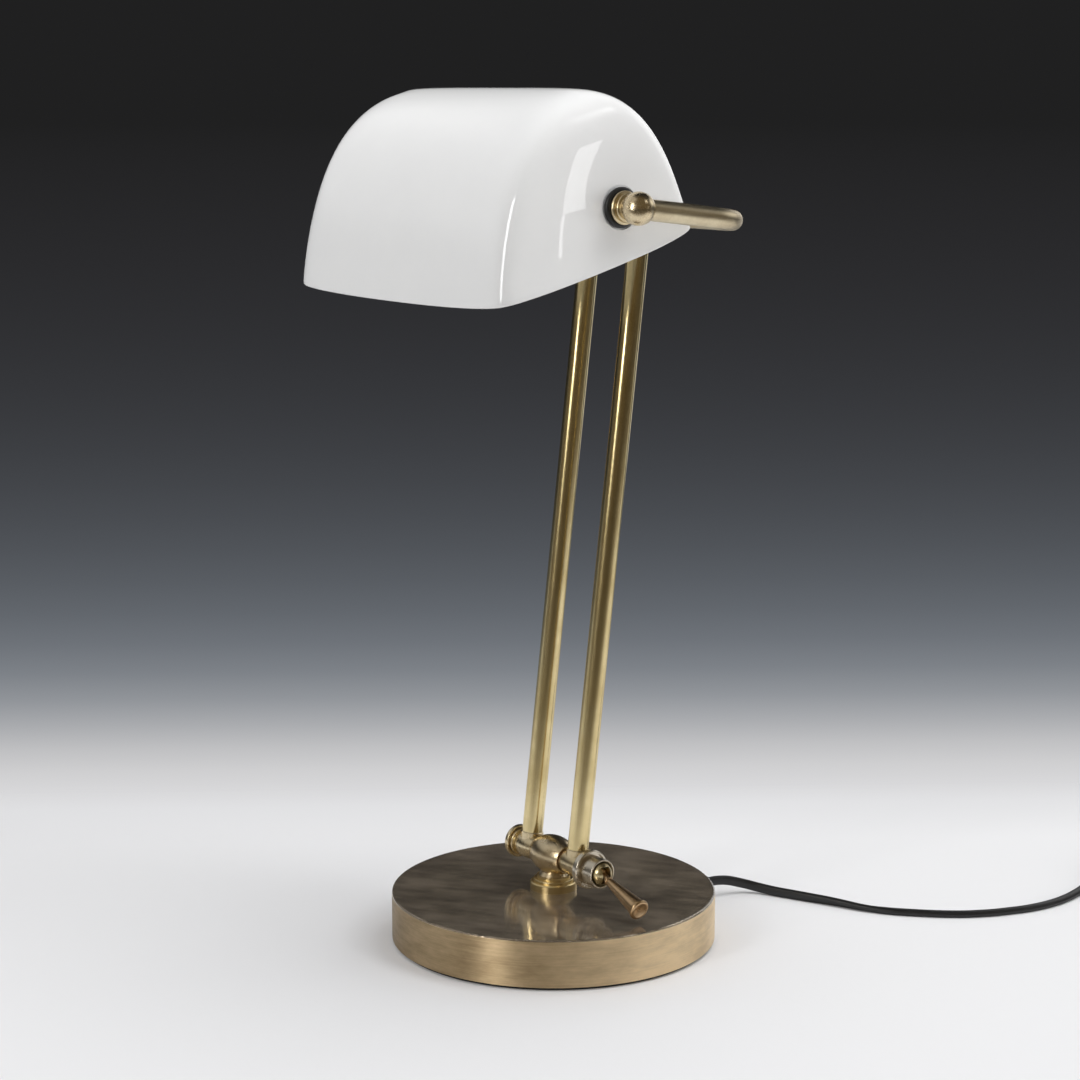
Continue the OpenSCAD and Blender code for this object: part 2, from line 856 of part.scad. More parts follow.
// One point of the outline at level k, in the direction a, on a wall set in by t
function shade_point(k, a, t) =
    let (power = corner_top + (corner_rim - corner_top) * pow(1 - k, corner_fade),
        reach = pow(pow(abs(cos(a)), power) + pow(abs(sin(a)), power), -1 / power),
        u = cos(a) * reach,
        v = sin(a) * reach,
        half_w = (shade_half_w - t) * drawn_in(k, arch_end) * (1 - shade_taper * k),
        half_d = v < 0 ? (shade_front - t) * drawn_in(k, arch_front)
            : (shade_rear - t) * drawn_in(k, arch_rear),
        front_sag = v < 0 ? (1 - pow(abs(u), sag_curve)) * v * v : 0,
        end_sag = (1 - pow(abs(v), sag_curve)) * u * u,
        sag = rim_sag * (front_sag + end_sag) * pow(1 - k, sag_fade))
    [half_w * u, half_d * v + ridge_back, k * (shade_h - t) - pivot_rise - sag];

function shade_wall(t) = [for (i = [0:shade_rings - 1], j = [0:shade_around - 1])
    shade_point(shade_level(i), shade_dir(j), t)];

function quad(a, b, c, d) = [[a, b, c], [a, c, d]];

module glass_body() {
    n = shade_around;
    last = shade_rings - 1;
    count = n * shade_rings;
    points = concat(shade_wall(0), shade_wall(glass_t),
        [[0, ridge_back, shade_h - pivot_rise], [0, ridge_back, shade_h - glass_t - pivot_rise]]);
    next = [for (j = [0:n - 1]) (j + 1) % n];
    outer = [for (i = [0:last - 1], j = [0:n - 1])
        each quad(i * n + j, (i + 1) * n + j, (i + 1) * n + next[j], i * n + next[j])];
    inner = [for (i = [0:last - 1], j = [0:n - 1])
        each quad(count + i * n + j, count + i * n + next[j], count + (i + 1) * n + next[j],
            count + (i + 1) * n + j)];
    rim = [for (j = [0:n - 1]) each quad(j, next[j], count + next[j], count + j)];
    top = [for (j = [0:n - 1]) [last * n + j, 2 * count, last * n + next[j]]];
    ceiling = [for (j = [0:n - 1]) [count + last * n + j, count + last * n + next[j], 2 * count + 1]];
    polyhedron(points, concat(outer, inner, rim, top, ceiling), convexity = 4);
}

// A flat is ground on both faces of the glass round each pivot hole
module pivot_cut() {
    along_x(glass_inside - over) cylinder(r = sleeve_r + slip, h = glass_t + 3 * over);
    along_x(glass_face) cylinder(d = outer_washer_d + 2, h = 4 * over);
    along_x(glass_inside - 4 * over) cylinder(d = inner_washer_d + 2, h = 4 * over);
}

module glass_shade() {
    color(opal) in_shade() difference() {
        glass_body();
        pivot_cut();
        on_left() pivot_cut();
    }
}

// Lampholder and bulb

module holder_cap() {
    r = holder_d / 2;
    neck_r = lock_nut_af / 2 + 3;
    color(black) in_pivot() along_x(holder_mid) rotate_extrude() difference() {
        polygon([[0, 0], [r, 0], [r, cap_len * 0.35], [neck_r, cap_len * 0.85], [neck_r - 1, cap_len], [0, cap_len]]);
        polygon([[0, -over], [r - holder_wall, -over], [r - holder_wall, cap_len * 0.3],
            [nipple_d / 2 + seat, cap_len * 0.55], [0, cap_len * 0.55]]);
        square([nipple_d / 2 + seat, cap_len + over]);
    }
}

module holder_shell() {
    r = holder_d / 2;
    lip = 1;
    color(black) in_pivot() along_x(holder_end) rotate_extrude() difference() {
        union() {
            square([r, holder_len]);
            translate([r, 2]) circle(lip);
        }
        translate([0, -over]) square([r - holder_wall, holder_len + 2 * over]);
    }
}

// Porcelain block with the screw shell that the bulb turns into
module holder_insert() {
    block_r = holder_d / 2 - holder_wall - seat;
    thread_r = bulb_cap_d / 2 + loose;
    thread_wall = 1.2;
    thread_len = 16;
    color("ivory") in_pivot() difference() {
        union() {
            along_x(contact_face) cylinder(r = block_r, h = insert_t);
            along_x(contact_face - thread_len) cylinder(r = thread_r + thread_wall, h = thread_len + over);
        }
        along_x(contact_face - thread_len - over) cylinder(r = thread_r, h = thread_len + over);
    }
}

// Outline of the bulb's cap, set in by t
module bulb_cap_outline(t) {
    r = bulb_cap_d / 2;
    tip_r = r * 0.4;
    tip_h = 5;
    polygon([[0, -over], [r - t, -over], [r - t, bulb_cap_len - tip_h - t], [tip_r - t, bulb_cap_len - 1 - t],
        [tip_r - t, bulb_cap_len - t], [0, bulb_cap_len - t]]);
}

module bulb_cap() {
    color(steel) in_pivot() along_x(bulb_cap_end) rotate_extrude() difference() {
        bulb_cap_outline(0);
        bulb_cap_outline(bulb_wall);
        translate([0, -2 * over]) square([bulb_cap_d, 2 * over]);
    }
}

// Outline of the bulb's glass, set in by t, open where the cap closes it
module bulb_outline(t) {
    r = bulb_d / 2;
    neck_r = bulb_cap_d / 2 - 0.6;
    translate([0, r]) ball_outline(r - t, t - r, r / 2);
    polygon([[0, 1.5 * r - 1], [r * sqrt(0.75) - t, 1.5 * r - 1], [r * sqrt(0.75) - t, 1.5 * r],
        [neck_r - t, bulb_len], [0, bulb_len]]);
}

module bulb_glass() {
    color(opal) in_pivot() along_x(bulb_end) rotate_extrude() difference() {
        bulb_outline(0);
        bulb_outline(bulb_wall);
    }
}

// Cord and plug

wall_out = base_r;
relief_end = wall_out + gland_flange_t + relief_len;

module cord_gland() {
    r = gland_d / 2;
    tip_r = cord_w / 2 + 0.8;
    color(black) translate([0, 0, gland_h]) rotate([-90, 0, 0]) {
        translate([0, 0, wall_out - 3 * shell_wall]) cylinder(d = gland_neck_d, h = 3 * shell_wall);
        translate([0, 0, wall_out]) round_disc(r, gland_flange_t);
        translate([0, 0, wall_out - 0.5]) cylinder(d = gland_neck_d, h = gland_flange_t + 0.5);
        translate([0, 0, wall_out + gland_flange_t])
            cylinder(r1 = gland_neck_d / 2, r2 = tip_r, h = relief_len);
    }
}

// The lead's way on the desk, by hand: x, y behind the gland, share of the gland's height, turn from
// lying flat, and share of the tie's lift. It leaves the gland on edge, drops, and turns flat.
tie_t = 0.8;
tie_gap = 0.2;
lead_points = [[0, 0, 1, 90, 0], [0, 8, 0.96, 90, 0], [1, 17, 0.78, 90, 0], [5, 27, 0.4, 90, 0],
    [12, 34, 0.13, 90, 0], [22, 39, 0.02, 90, 0], [33, 44, 0, 86, 0], [44, 49, 0, 76, 0], [56, 55, 0, 60, 0],
    [67, 60, 0, 44, 0], [78, 65, 0, 26, 0], [88, 71, 0, 10, 0], [97, 77.5, 0, 0, 0], [105, 85, 0, 0, 0],
    [113, 93, 0, 0, 0], [120, 101, 0, 0, 0], [126, 109, 0, 0, 0], [131, 118, 0, 0, 0], [135.5, 128, 0, 0, 0],
    [139, 139, 0, 0, 0], [142, 150, 0, 0, 0], [143.5, 162, 0, 0, 0], [143.5, 174, 0, 0, 0],
    [142, 186, 0, 0, 0], [139, 198, 0, 0, 0], [135, 210, 0, 0, 0], [130.5, 221, 0, 0, 0.1],
    [126.5, 232, 0, 0, 0.4], [123, 243, 0, 0, 0.8], [120, 254, 0, 0, 1], [118, 262, 0, 0, 1]];

// Height of the lead's middle when it lies on the desk, turned by roll
function lying(roll) = norm([cord_w * sin(roll), cord_t * cos(roll)]) / 2;
lead_path = [for (p = lead_points)
    [p[0], p[1] + relief_end, lying(p[3]) + p[2] * (gland_h - lying(90)) + p[4] * (tie_t + tie_gap)]];
lead_roll = [for (p = lead_points) p[3]];

// Direction of a path at its point i
function unit(v) = v / norm(v);
function heading(path, i) = unit(path[min(i + 1, len(path) - 1)] - path[max(i - 1, 0)]);

// Ring of a flat cord round point p, square to direction d, turned by roll from lying flat
function cord_ring(p, d, roll, sides) =
    let (across = unit(cross(d, [0, 0, 1])), upward = cross(across, d))
    [for (j = [0:sides - 1])
        let (u = cord_w / 2 * cos(360 * j / sides), v = cord_t / 2 * sin(360 * j / sides))
        p + across * (u * cos(roll) - v * sin(roll)) + upward * (u * sin(roll) + v * cos(roll))];

// One closed tube along a path, with the given direction at each of its points
module cord_tube(path, dirs, rolls, sides) {
    n = len(path);
    points = [for (i = [0:n - 1]) each cord_ring(path[i], dirs[i], rolls[i], sides)];
    walls = [for (i = [0:n - 2], j = [0:sides - 1])
        each quad(i * sides + j, i * sides + (j + 1) % sides, (i + 1) * sides + (j + 1) % sides, (i + 1) * sides + j)];
    start = [for (j = [1:sides - 2]) [0, j + 1, j]];
    end = [for (j = [1:sides - 2]) [(n - 1) * sides, (n - 1) * sides + j, (n - 1) * sides + j + 1]];
    polyhedron(points, concat(walls, start, end), convexity = 10);
}

// The first ring is square to the gland and the last square to the coil
lead_end_dir = unit([-0.25, 0.97, 0]);
lead_dirs = [for (i = [0:len(lead_path) - 1])
    i == 0 ? [0, 1, 0] : i == len(lead_path) - 1 ? lead_end_dir : heading(lead_path, i)];

module cord() {
    color(black) cord_tube(lead_path, lead_dirs, lead_roll, 8);
}

// The rest of the lead is wound in two layers: in along the lower one, up, and out along the upper one
coil_sides = 6;
coil_steps = 24;
coil_inner_r = 27.5;
coil_pitch = cord_w + 0.6;
coil_layer = cord_t + 0.5;
coil_layer_turns = 68 / coil_steps;
coil_climb_turns = 0.5;
coil_base_z = lead_path[len(lead_path) - 1][2];
coil_outer_r = coil_inner_r + coil_layer_turns * coil_pitch;
coil_turns = 2 * coil_layer_turns + coil_climb_turns;
coil_rings = round(coil_turns * coil_steps);
coil_dip = coil_pitch * coil_climb_turns / PI;
coil_tail = 5 * cord_w;
coil_entry = lead_path[len(lead_path) - 1] + lead_end_dir * cord_w;
coil_side = [lead_end_dir[1], -lead_end_dir[0], 0];
coil_middle = coil_entry + coil_side * coil_outer_r;
coil_from = atan2(-coil_side[1], -coil_side[0]);

function coil_r(turn) =
    turn < coil_layer_turns ? coil_outer_r - turn * coil_pitch :
    turn < coil_layer_turns + coil_climb_turns ?
        coil_inner_r - coil_dip * sin(180 * (turn - coil_layer_turns) / coil_climb_turns) :
    coil_inner_r + (turn - coil_layer_turns - coil_climb_turns) * coil_pitch;
function coil_rise(turn) =
    coil_layer * (1 - cos(180 * min(1, max(0, (turn - coil_layer_turns) / coil_climb_turns)))) / 2;
function coil_point(turn) =
    let (a = coil_from - 360 * turn)
    [coil_middle[0] + coil_r(turn) * cos(a), coil_middle[1] + coil_r(turn) * sin(a), coil_base_z + coil_rise(turn)];

coil_loops = [for (i = [0:coil_rings]) coil_point(i * coil_turns / coil_rings)];
coil_end_angle = coil_from - 360 * coil_turns;
coil_end_dir = [sin(coil_end_angle), -cos(coil_end_angle), 0];
coil_path = concat([coil_entry - lead_end_dir * cord_w], coil_loops,
    [for (share = [0.25, 0.6, 1]) coil_loops[coil_rings] + coil_end_dir * coil_tail * share]);
coil_dirs = [for (i = [0:len(coil_path) - 1])
    i == 0 ? lead_end_dir : i == len(coil_path) - 1 ? coil_end_dir :
    let (h = heading(coil_path, i)) unit([h[0], h[1], 0])];

// Least gap between turns: two ovals that lie level just touch when their middles are one width
// apart across, one thickness apart up, or in between on the same oval
function turn_gap(p, q) =
    let (flat = norm([p[0] - q[0], p[1] - q[1]]), rise = abs(p[2] - q[2]))
    norm([flat, rise]) * (1 - 1 / norm([flat / cord_w, rise / cord_t]));
half_turn = coil_steps / 2;
coil_gap = min([for (i = [0:coil_rings - half_turn - 1], j = [i + half_turn:coil_rings])
    turn_gap(coil_loops[i], coil_loops[j])]);
function path_len(path) = [for (i = [1:len(path) - 1]) norm(path[i] - path[i - 1])] * [for (i = [1:len(path) - 1]) 1];
echo(coil_gap = coil_gap, lead_len = path_len(lead_path), coil_len = path_len(coil_path));

module cord_coil() {
    color(black) cord_tube(coil_path, coil_dirs, [for (p = coil_path) 0], coil_sides);
}

// A strap round the bundle on the side of the coil away from the lead
tie_w = 7;
tie_turn = 0.5;

module tie_outline(grow) {
    half_h = (coil_layer + cord_t) / 2 + tie_gap;
    span = coil_outer_r - coil_inner_r + cord_w - 1;
    translate([-span / 2, -half_h - grow]) square([span, 2 * (half_h + grow)]);
    for (side = [-1, 1]) translate([side * span / 2, 0]) circle(half_h + grow);
}

module cord_tie() {
    color("#3a3a3a") translate([coil_middle[0], coil_middle[1], coil_base_z + coil_layer / 2])
        rotate([0, 0, coil_from - 360 * tie_turn])
        translate([(coil_outer_r + coil_inner_r) / 2, tie_w / 2, 0]) rotate([90, 0, 0])
        linear_extrude(tie_w) difference() {
            tie_outline(tie_t);
            tie_outline(0);
        }
}

// The plug lies beside the coil, at the height of the lead's end
plug_from = coil_path[len(coil_path) - 1];
plug_t = 2 * plug_from[2];
plug_angle = atan2(coil_end_dir[1], coil_end_dir[0]);

module at_plug() {
    translate([plug_from[0], plug_from[1], plug_from[2]]) rotate([0, 0, plug_angle]) children();
}

// A flat two-pin body that narrows to the lead
module plug_body() {
    neck_w = cord_w + 3.2;
    soft = 2;
    color(black) at_plug() difference() {
        intersection() {
            translate([0, 0, -plug_t / 2]) linear_extrude(plug_t)
                polygon([[0, -neck_w / 2], [plug_len * 0.3, -neck_w / 2 - 1], [plug_len * 0.7, -plug_w / 2 + soft],
                    [plug_len * 0.78, -plug_w / 2], [plug_len, -plug_w / 2], [plug_len, plug_w / 2],
                    [plug_len * 0.78, plug_w / 2], [plug_len * 0.7, plug_w / 2 - soft],
                    [plug_len * 0.3, neck_w / 2 + 1], [0, neck_w / 2]]);
            translate([0, plug_w, 0]) rotate([90, 0, 0]) linear_extrude(2 * plug_w)
                polygon([[0, -plug_t * 0.36], [plug_len * 0.3, -plug_t / 2], [plug_len - soft, -plug_t / 2],
                    [plug_len, -plug_t / 2 + soft], [plug_len, plug_t / 2 - soft], [plug_len - soft, plug_t / 2],
                    [plug_len * 0.3, plug_t / 2], [0, plug_t * 0.36]]);
        }
        for (side = [-1, 1]) translate([0, side * pin_pitch / 2, 0]) along_x(plug_len - 8)
            cylinder(d = pin_d + 2 * seat, h = 8 + over);
    }
}

module plug_pins() {
    r = pin_d / 2;
    straight = 8 + pin_len - r - seat;
    color(steel) at_plug() for (side = [-1, 1]) translate([0, side * pin_pitch / 2, 0])
        along_x(plug_len - 8 + seat) rotate_extrude() {
            square([r, straight]);
            translate([0, straight]) ball_outline(r, 0, r);
        }
}

base_shell();
base_weight();
base_plate();
felt_pad();
stem();
stem_nut();
stem_washer();
collar();
knuckle();
spindle();
spindle_nuts();
joint_washers();
left_barrel();
right_barrel();
left_end_cap();
switch_flange();
switch_ring();
switch_body();
toggle_pin();
switch_lever();
left_arm_tube();
right_arm_tube();
left_tee();
right_tee();
yoke_tube();
left_yoke_ball();
right_yoke_ball();
left_pivot_collar();
right_pivot_collar();
left_nipple();
right_nipple();
left_lock_nut();
right_lock_nut();
left_outer_washer();
right_outer_washer();
left_inner_washer();
right_inner_washer();
glass_shade();
holder_cap();
holder_shell();
holder_insert();
bulb_cap();
bulb_glass();
cord_gland();
cord();
cord_coil();
cord_tie();
plug_body();
plug_pins();
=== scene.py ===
"""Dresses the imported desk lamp: camera, cord, opal shade, aged brass and studio."""
import logging
import math
from dataclasses import dataclass, field
from enum import Enum
from typing import Iterable, Sequence, Union

import bpy
from mathutils import Matrix, Vector


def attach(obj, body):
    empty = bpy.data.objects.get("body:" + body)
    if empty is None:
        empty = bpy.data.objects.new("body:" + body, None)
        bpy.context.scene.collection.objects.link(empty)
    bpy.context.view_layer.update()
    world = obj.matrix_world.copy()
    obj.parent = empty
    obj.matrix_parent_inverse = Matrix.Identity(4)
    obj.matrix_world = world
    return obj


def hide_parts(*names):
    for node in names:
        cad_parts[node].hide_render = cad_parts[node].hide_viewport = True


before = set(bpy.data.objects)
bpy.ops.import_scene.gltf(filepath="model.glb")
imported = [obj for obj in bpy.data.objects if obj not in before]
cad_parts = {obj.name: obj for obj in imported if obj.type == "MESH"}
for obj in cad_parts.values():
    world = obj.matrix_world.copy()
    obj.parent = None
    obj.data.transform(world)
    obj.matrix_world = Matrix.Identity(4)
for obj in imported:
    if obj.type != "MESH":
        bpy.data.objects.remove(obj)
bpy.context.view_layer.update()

logging.basicConfig(level=logging.INFO, format="%(message)s")
log = logging.getLogger("desk_lamp")

Rgb = tuple[float, float, float]
Point = tuple[float, float, float]
Span = tuple[float, float]
Socket = bpy.types.NodeSocket
Value = Union[float, Socket]
Colour = Union[Rgb, Socket]

MM = 0.001
ORIGIN: Point = (0.0, 0.0, 0.0)
BUMP_REACH = 0.0002


class Body(str, Enum):
    """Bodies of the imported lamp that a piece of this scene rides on."""

    BASE = "base"
    SHADE = "shade"


class Grain(Enum):
    """Which way the fine lines of a metal piece run."""

    RIM = "round the upright axis of the base"
    TUBE = "along the arm tubes"
    TURNED = "round the level barrel axis"
    NONE = "no lines"


# Length of one line of each grain along x, y and z, in metres
GRAIN_SIZE: dict[Grain, Point] = {
    Grain.RIM: (0.11, 0.11, 0.0006),
    Grain.TUBE: (0.0012, 0.0012, 0.12),
    Grain.TURNED: (0.0007, 0.03, 0.03),
    Grain.NONE: (0.004, 0.004, 0.004),
}


# Shared helpers


class Tree:
    """Thin wrapper that adds and links shader nodes."""

    def __init__(self, tree: bpy.types.NodeTree) -> None:
        """Keeps the node tree that the nodes go into.

        Args:
            tree: Node tree of a material, world or node group.
        """
        self.tree = tree

    def add(self, kind: str, inputs: dict | None = None, **settings) -> bpy.types.Node:
        """Adds one node.

        Args:
            kind: Node type without the ShaderNode prefix.
            inputs: Socket name or index to a value or an output socket.
            **settings: Attributes of the node.

        Returns:
            The new node.
        """
        prefix = "" if kind.startswith(("Node", "Shader")) else "ShaderNode"
        node = self.tree.nodes.new(prefix + kind)
        for key, value in settings.items():
            setattr(node, key, value)
        for key, value in (inputs or {}).items():
            if isinstance(value, Socket):
                self.link(value, node.inputs[key])
            else:
                node.inputs[key].default_value = value
        return node

    def link(self, source: Socket, target: Socket) -> None:
        """Links two sockets."""
        self.tree.links.new(source, target)

    def mix(self, fac: Value, a: Colour, b: Colour) -> Socket:
        """Mixes two colours.

        Args:
            fac: Value or socket that drives the mix.
            a: Colour or socket at zero.
            b: Colour or socket at one.

        Returns:
            The mixed colour's socket.
        """
        a, b = (rgba(colour) if isinstance(colour, tuple) else colour for colour in (a, b))
        return self.add("Mix", {0: fac, 6: a, 7: b}, data_type="RGBA").outputs[2]

    def span(
        self, value: Socket, low: float, high: float, out_low: float = 0.0, out_high: float = 1.0
    ) -> Socket:
        """Maps a value from one range to another, clamped.

        Args:
            value: Socket to map.
            low: Start of the range read.
            high: End of the range read.
            out_low: Result at the start.
            out_high: Result at the end.

        Returns:
            The mapped value's socket.
        """
        node = self.add("MapRange", {0: value, 1: low, 2: high, 3: out_low, 4: out_high})
        return node.outputs[0]

    def math(self, operation: str, a: Value, b: Value) -> Socket:
        """Does one sum and returns its socket."""
        return self.add("Math", {0: a, 1: b}, operation=operation).outputs[0]

    def blend(self, a: Socket, share_a: Value, b: Socket, share_b: Value) -> Socket:
        """Adds two values, each times its own share.

        Args:
            a: First value.
            share_a: What the first value is multiplied by.
            b: Second value.
            share_b: What the second value is multiplied by.

        Returns:
            The sum's socket.
        """
        parts = self.math("MULTIPLY", a, share_a), self.math("MULTIPLY", b, share_b)
        return self.math("ADD", *parts)

    def dot(self, vector: Socket, direction: Point) -> Socket:
        """Measures how far a place lies along a direction and returns the socket."""
        node = self.add("VectorMath", {0: vector, 1: direction}, operation="DOT_PRODUCT")
        return node.outputs["Value"]

    def stretch(
        self, place: Socket, size: Point, turn: Point = ORIGIN, origin: Point = ORIGIN
    ) -> Socket:
        """Measures a place in units of one feature of a pattern.

        Args:
            place: Place on the piece.
            size: Length of one feature along each axis, in metres.
            turn: Angles that the pattern is turned by, in radians.
            origin: Place where the pattern starts.

        Returns:
            The measured place's socket.
        """
        inputs = {"Vector": place, "Location": origin, "Rotation": turn, "Scale": size}
        return self.add("Mapping", inputs, vector_type="TEXTURE").outputs[0]

    def bump(
        self, shader: bpy.types.Node, height: Socket, strength: float, reach: float = BUMP_REACH
    ) -> None:
        """Gives a shader a fine relief.

        Args:
            shader: Shader node of the material.
            height: Height of the relief, from 0 to 1.
            strength: How much of the relief shows.
            reach: Full height of the relief, in metres.
        """
        relief = self.add("Bump", {"Height": height, "Strength": strength, "Distance": reach})
        self.link(relief.outputs[0], shader.inputs["Normal"])


def rgba(colour: Rgb) -> tuple[float, float, float, float]:
    """Adds full opacity to a colour."""
    return (colour[0], colour[1], colour[2], 1.0)


def new_material(name: str) -> tuple[bpy.types.Material, Tree, bpy.types.Node]:
    """Starts a material with a Principled shader.

    Args:
        name: Material name.

    Returns:
        The material, its tree and the shader node.
    """
    material = bpy.data.materials.new(name)
    material.use_nodes = True
    return material, Tree(material.node_tree), material.node_tree.nodes["Principled BSDF"]


def deselect() -> None:
    """Leaves edit mode and clears the selection."""
    if bpy.context.object and bpy.context.object.mode != "OBJECT":
        bpy.ops.object.mode_set(mode="OBJECT")
    bpy.ops.object.select_all(action="DESELECT")


def activate(piece: bpy.types.Object) -> None:
    """Makes one object the only selected and the active one."""
    deselect()
    piece.select_set(True)
    bpy.context.view_layer.objects.active = piece


def apply_modifier(piece: bpy.types.Object, kind: str, **settings) -> None:
    """Adds one modifier and applies it.

    Args:
        piece: Object to change.
        kind: Modifier type.
        **settings: Attributes of the modifier.
    """
    activate(piece)
    modifier = piece.modifiers.new(kind.title(), kind)
    for key, value in settings.items():
        setattr(modifier, key, value)
    bpy.ops.object.modifier_apply(modifier=modifier.name)


def face_outwards(piece: bpy.types.Object, weld: float = 0.0) -> None:
    """Turns all faces of a piece outwards.

    Args:
        piece: Object to change.
        weld: Distance under which points are joined first, or 0 to join none.
    """
    activate(piece)
    bpy.ops.object.mode_set(mode="EDIT")
    bpy.ops.mesh.select_all(action="SELECT")
    if weld:
        bpy.ops.mesh.remove_doubles(threshold=weld)
    bpy.ops.mesh.normals_make_consistent(inside=False)
    bpy.ops.object.mode_set(mode="OBJECT")


def smooth(piece: bpy.types.Object, degrees: float) -> None:
    """Shades a piece smooth, with sharp edges past an angle."""
    activate(piece)
    bpy.ops.object.shade_smooth_by_angle(angle=math.radians(degrees))


def dress(piece: bpy.types.Object, material: bpy.types.Material) -> None:
    """Gives a piece one material on all its faces."""
    piece.data.materials.clear()
    piece.data.materials.append(material)


def dress_nodes(names: Iterable[str], material: bpy.types.Material) -> None:
    """Puts a material on the slots of CAD nodes.

    Args:
        names: Node names.
        material: Finish to show.
    """
    for name in names:
        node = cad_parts[name]
        for slot in node.material_slots:
            slot.link = "OBJECT"
            slot.material = material
        log.info("finish %s: %s", name, material.name)


# Shared surface effects


def make_group(
    name: str, inputs: Sequence[tuple[str, str]]
) -> tuple[bpy.types.NodeTree, Tree, bpy.types.Node, bpy.types.Node]:
    """Starts a shader node group that gives one mask.

    Args:
        name: Group name.
        inputs: Pairs of socket name and type.

    Returns:
        The group, its tree wrapper, its input node and its output node.
    """
    group = bpy.data.node_groups.new(name, "ShaderNodeTree")
    for label, kind in inputs:
        group.interface.new_socket(label, in_out="INPUT", socket_type=kind)
    group.interface.new_socket("Mask", in_out="OUTPUT", socket_type="NodeSocketFloat")
    tree = Tree(group)
    return group, tree, tree.add("NodeGroupInput"), tree.add("NodeGroupOutput")


class Effects:
    """Node groups that several finishes share."""

    PATCH_SPAN: Span = (0.34, 0.68)
    PATCH_DETAIL = {"Detail": 5.0, "Roughness": 0.62}
    LINE_SPAN: Span = (0.36, 0.64)
    LINE_SCALES: Span = (1.0, 3.7)
    LINE_DETAIL = 2.0

    def __init__(self) -> None:
        """Builds each group once."""
        self.mottle = self._mottle()
        self.lines = self._lines()

    def _mottle(self) -> bpy.types.NodeTree:
        """Cloudy patches, as of patina or handling, from 0 to 1.

        Returns:
            The group.
        """
        group, tree, inlet, outlet = make_group(
            "mottle", [("Vector", "NodeSocketVector"), ("Scale", "NodeSocketFloat")]
        )
        wiring = {"Vector": inlet.outputs[0], "Scale": inlet.outputs[1]}
        broad = tree.add("TexNoise", wiring | self.PATCH_DETAIL)
        tree.link(tree.span(broad.outputs["Fac"], *self.PATCH_SPAN), outlet.inputs[0])
        return group

    def _lines(self) -> bpy.types.NodeTree:
        """Fine brushed lines along the stretched direction of the vector, from 0 to 1.

        Returns:
            The group.
        """
        group, tree, inlet, outlet = make_group("brushed_lines", [("Vector", "NodeSocketVector")])
        coarse, fine = (
            tree.add(
                "TexNoise",
                {"Vector": inlet.outputs[0], "Scale": scale, "Detail": self.LINE_DETAIL},
            ).outputs["Fac"]
            for scale in self.LINE_SCALES
        )
        both = tree.blend(coarse, 0.5, fine, 0.5)
        tree.link(tree.span(both, *self.LINE_SPAN), outlet.inputs[0])
        return group

    def patches(self, tree: Tree, place: Socket, scale: float) -> Socket:
        """Lays cloudy patches over a finish.

        Args:
            tree: Tree of the finish.
            place: Place on the piece.
            scale: Patches to a unit of the place.

        Returns:
            The patches' mask.
        """
        inputs = {"Vector": place, "Scale": scale}
        return tree.add("Group", inputs, node_tree=self.mottle).outputs[0]

    def brushing(self, tree: Tree, place: Socket) -> Socket:
        """Lays fine lines over a finish.

        Args:
            tree: Tree of the finish.
            place: Place on the piece, in units of one line.

        Returns:
            The lines' mask.
        """
        return tree.add("Group", {"Vector": place}, node_tree=self.lines).outputs[0]


# Finishes


@dataclass(frozen=True)
class AgedBrass:
    """Lacquered brass with patina patches and fine lines."""

    name: str
    bright: Rgb
    dull: Rgb
    grain: Grain
    rough: Span = (0.2, 0.36)
    patch_scale: float = 28.0
    line_depth: float = 0.06
    core: Rgb = (0.0, 0.0, 0.0)
    core_r: float = 0.0
    core_edge: float = 0.0004
    patch_share: float = 0.75
    polish_share: float = 0.6

    def build(self, effects: Effects, lean: float, axis_h: float) -> bpy.types.Material:
        """Builds the material.

        Args:
            effects: Shared node groups.
            lean: Lean of the arm, in radians.
            axis_h: Height of the barrel axis, in metres.

        Returns:
            The finished material.
        """
        material, tree, shader = new_material(self.name)
        place = tree.add("TexCoord").outputs["Object"]
        patch = effects.patches(tree, place, self.patch_scale)
        turn = (-lean, 0.0, 0.0) if self.grain is Grain.TUBE else ORIGIN
        along = tree.stretch(place, GRAIN_SIZE[self.grain], turn, (0.0, 0.0, axis_h))
        lines = effects.brushing(tree, along)
        bright_mix = tree.blend(patch, self.patch_share, lines, 1 - self.patch_share)
        colour = tree.mix(bright_mix, self.dull, self.bright)
        if self.core_r:
            off_axis = tree.add(
                "Mapping",
                {"Vector": place, "Location": (0.0, 0.0, -axis_h), "Scale": (0.0, 1.0, 1.0)},
            ).outputs[0]
            reach = tree.add("VectorMath", {0: off_axis}, operation="LENGTH").outputs["Value"]
            inside = tree.span(reach, self.core_r, self.core_r - self.core_edge)
            colour = tree.mix(inside, colour, self.core)
        tree.link(colour, shader.inputs["Base Color"])
        line_share = 1 - self.polish_share
        uneven = tree.blend(patch, -self.polish_share, lines, line_share)
        rough = tree.span(uneven, -self.polish_share, line_share, *self.rough)
        tree.link(rough, shader.inputs["Roughness"])
        tree.bump(shader, lines, self.line_depth)
        shader.inputs["Metallic"].default_value = 1.0
        return material


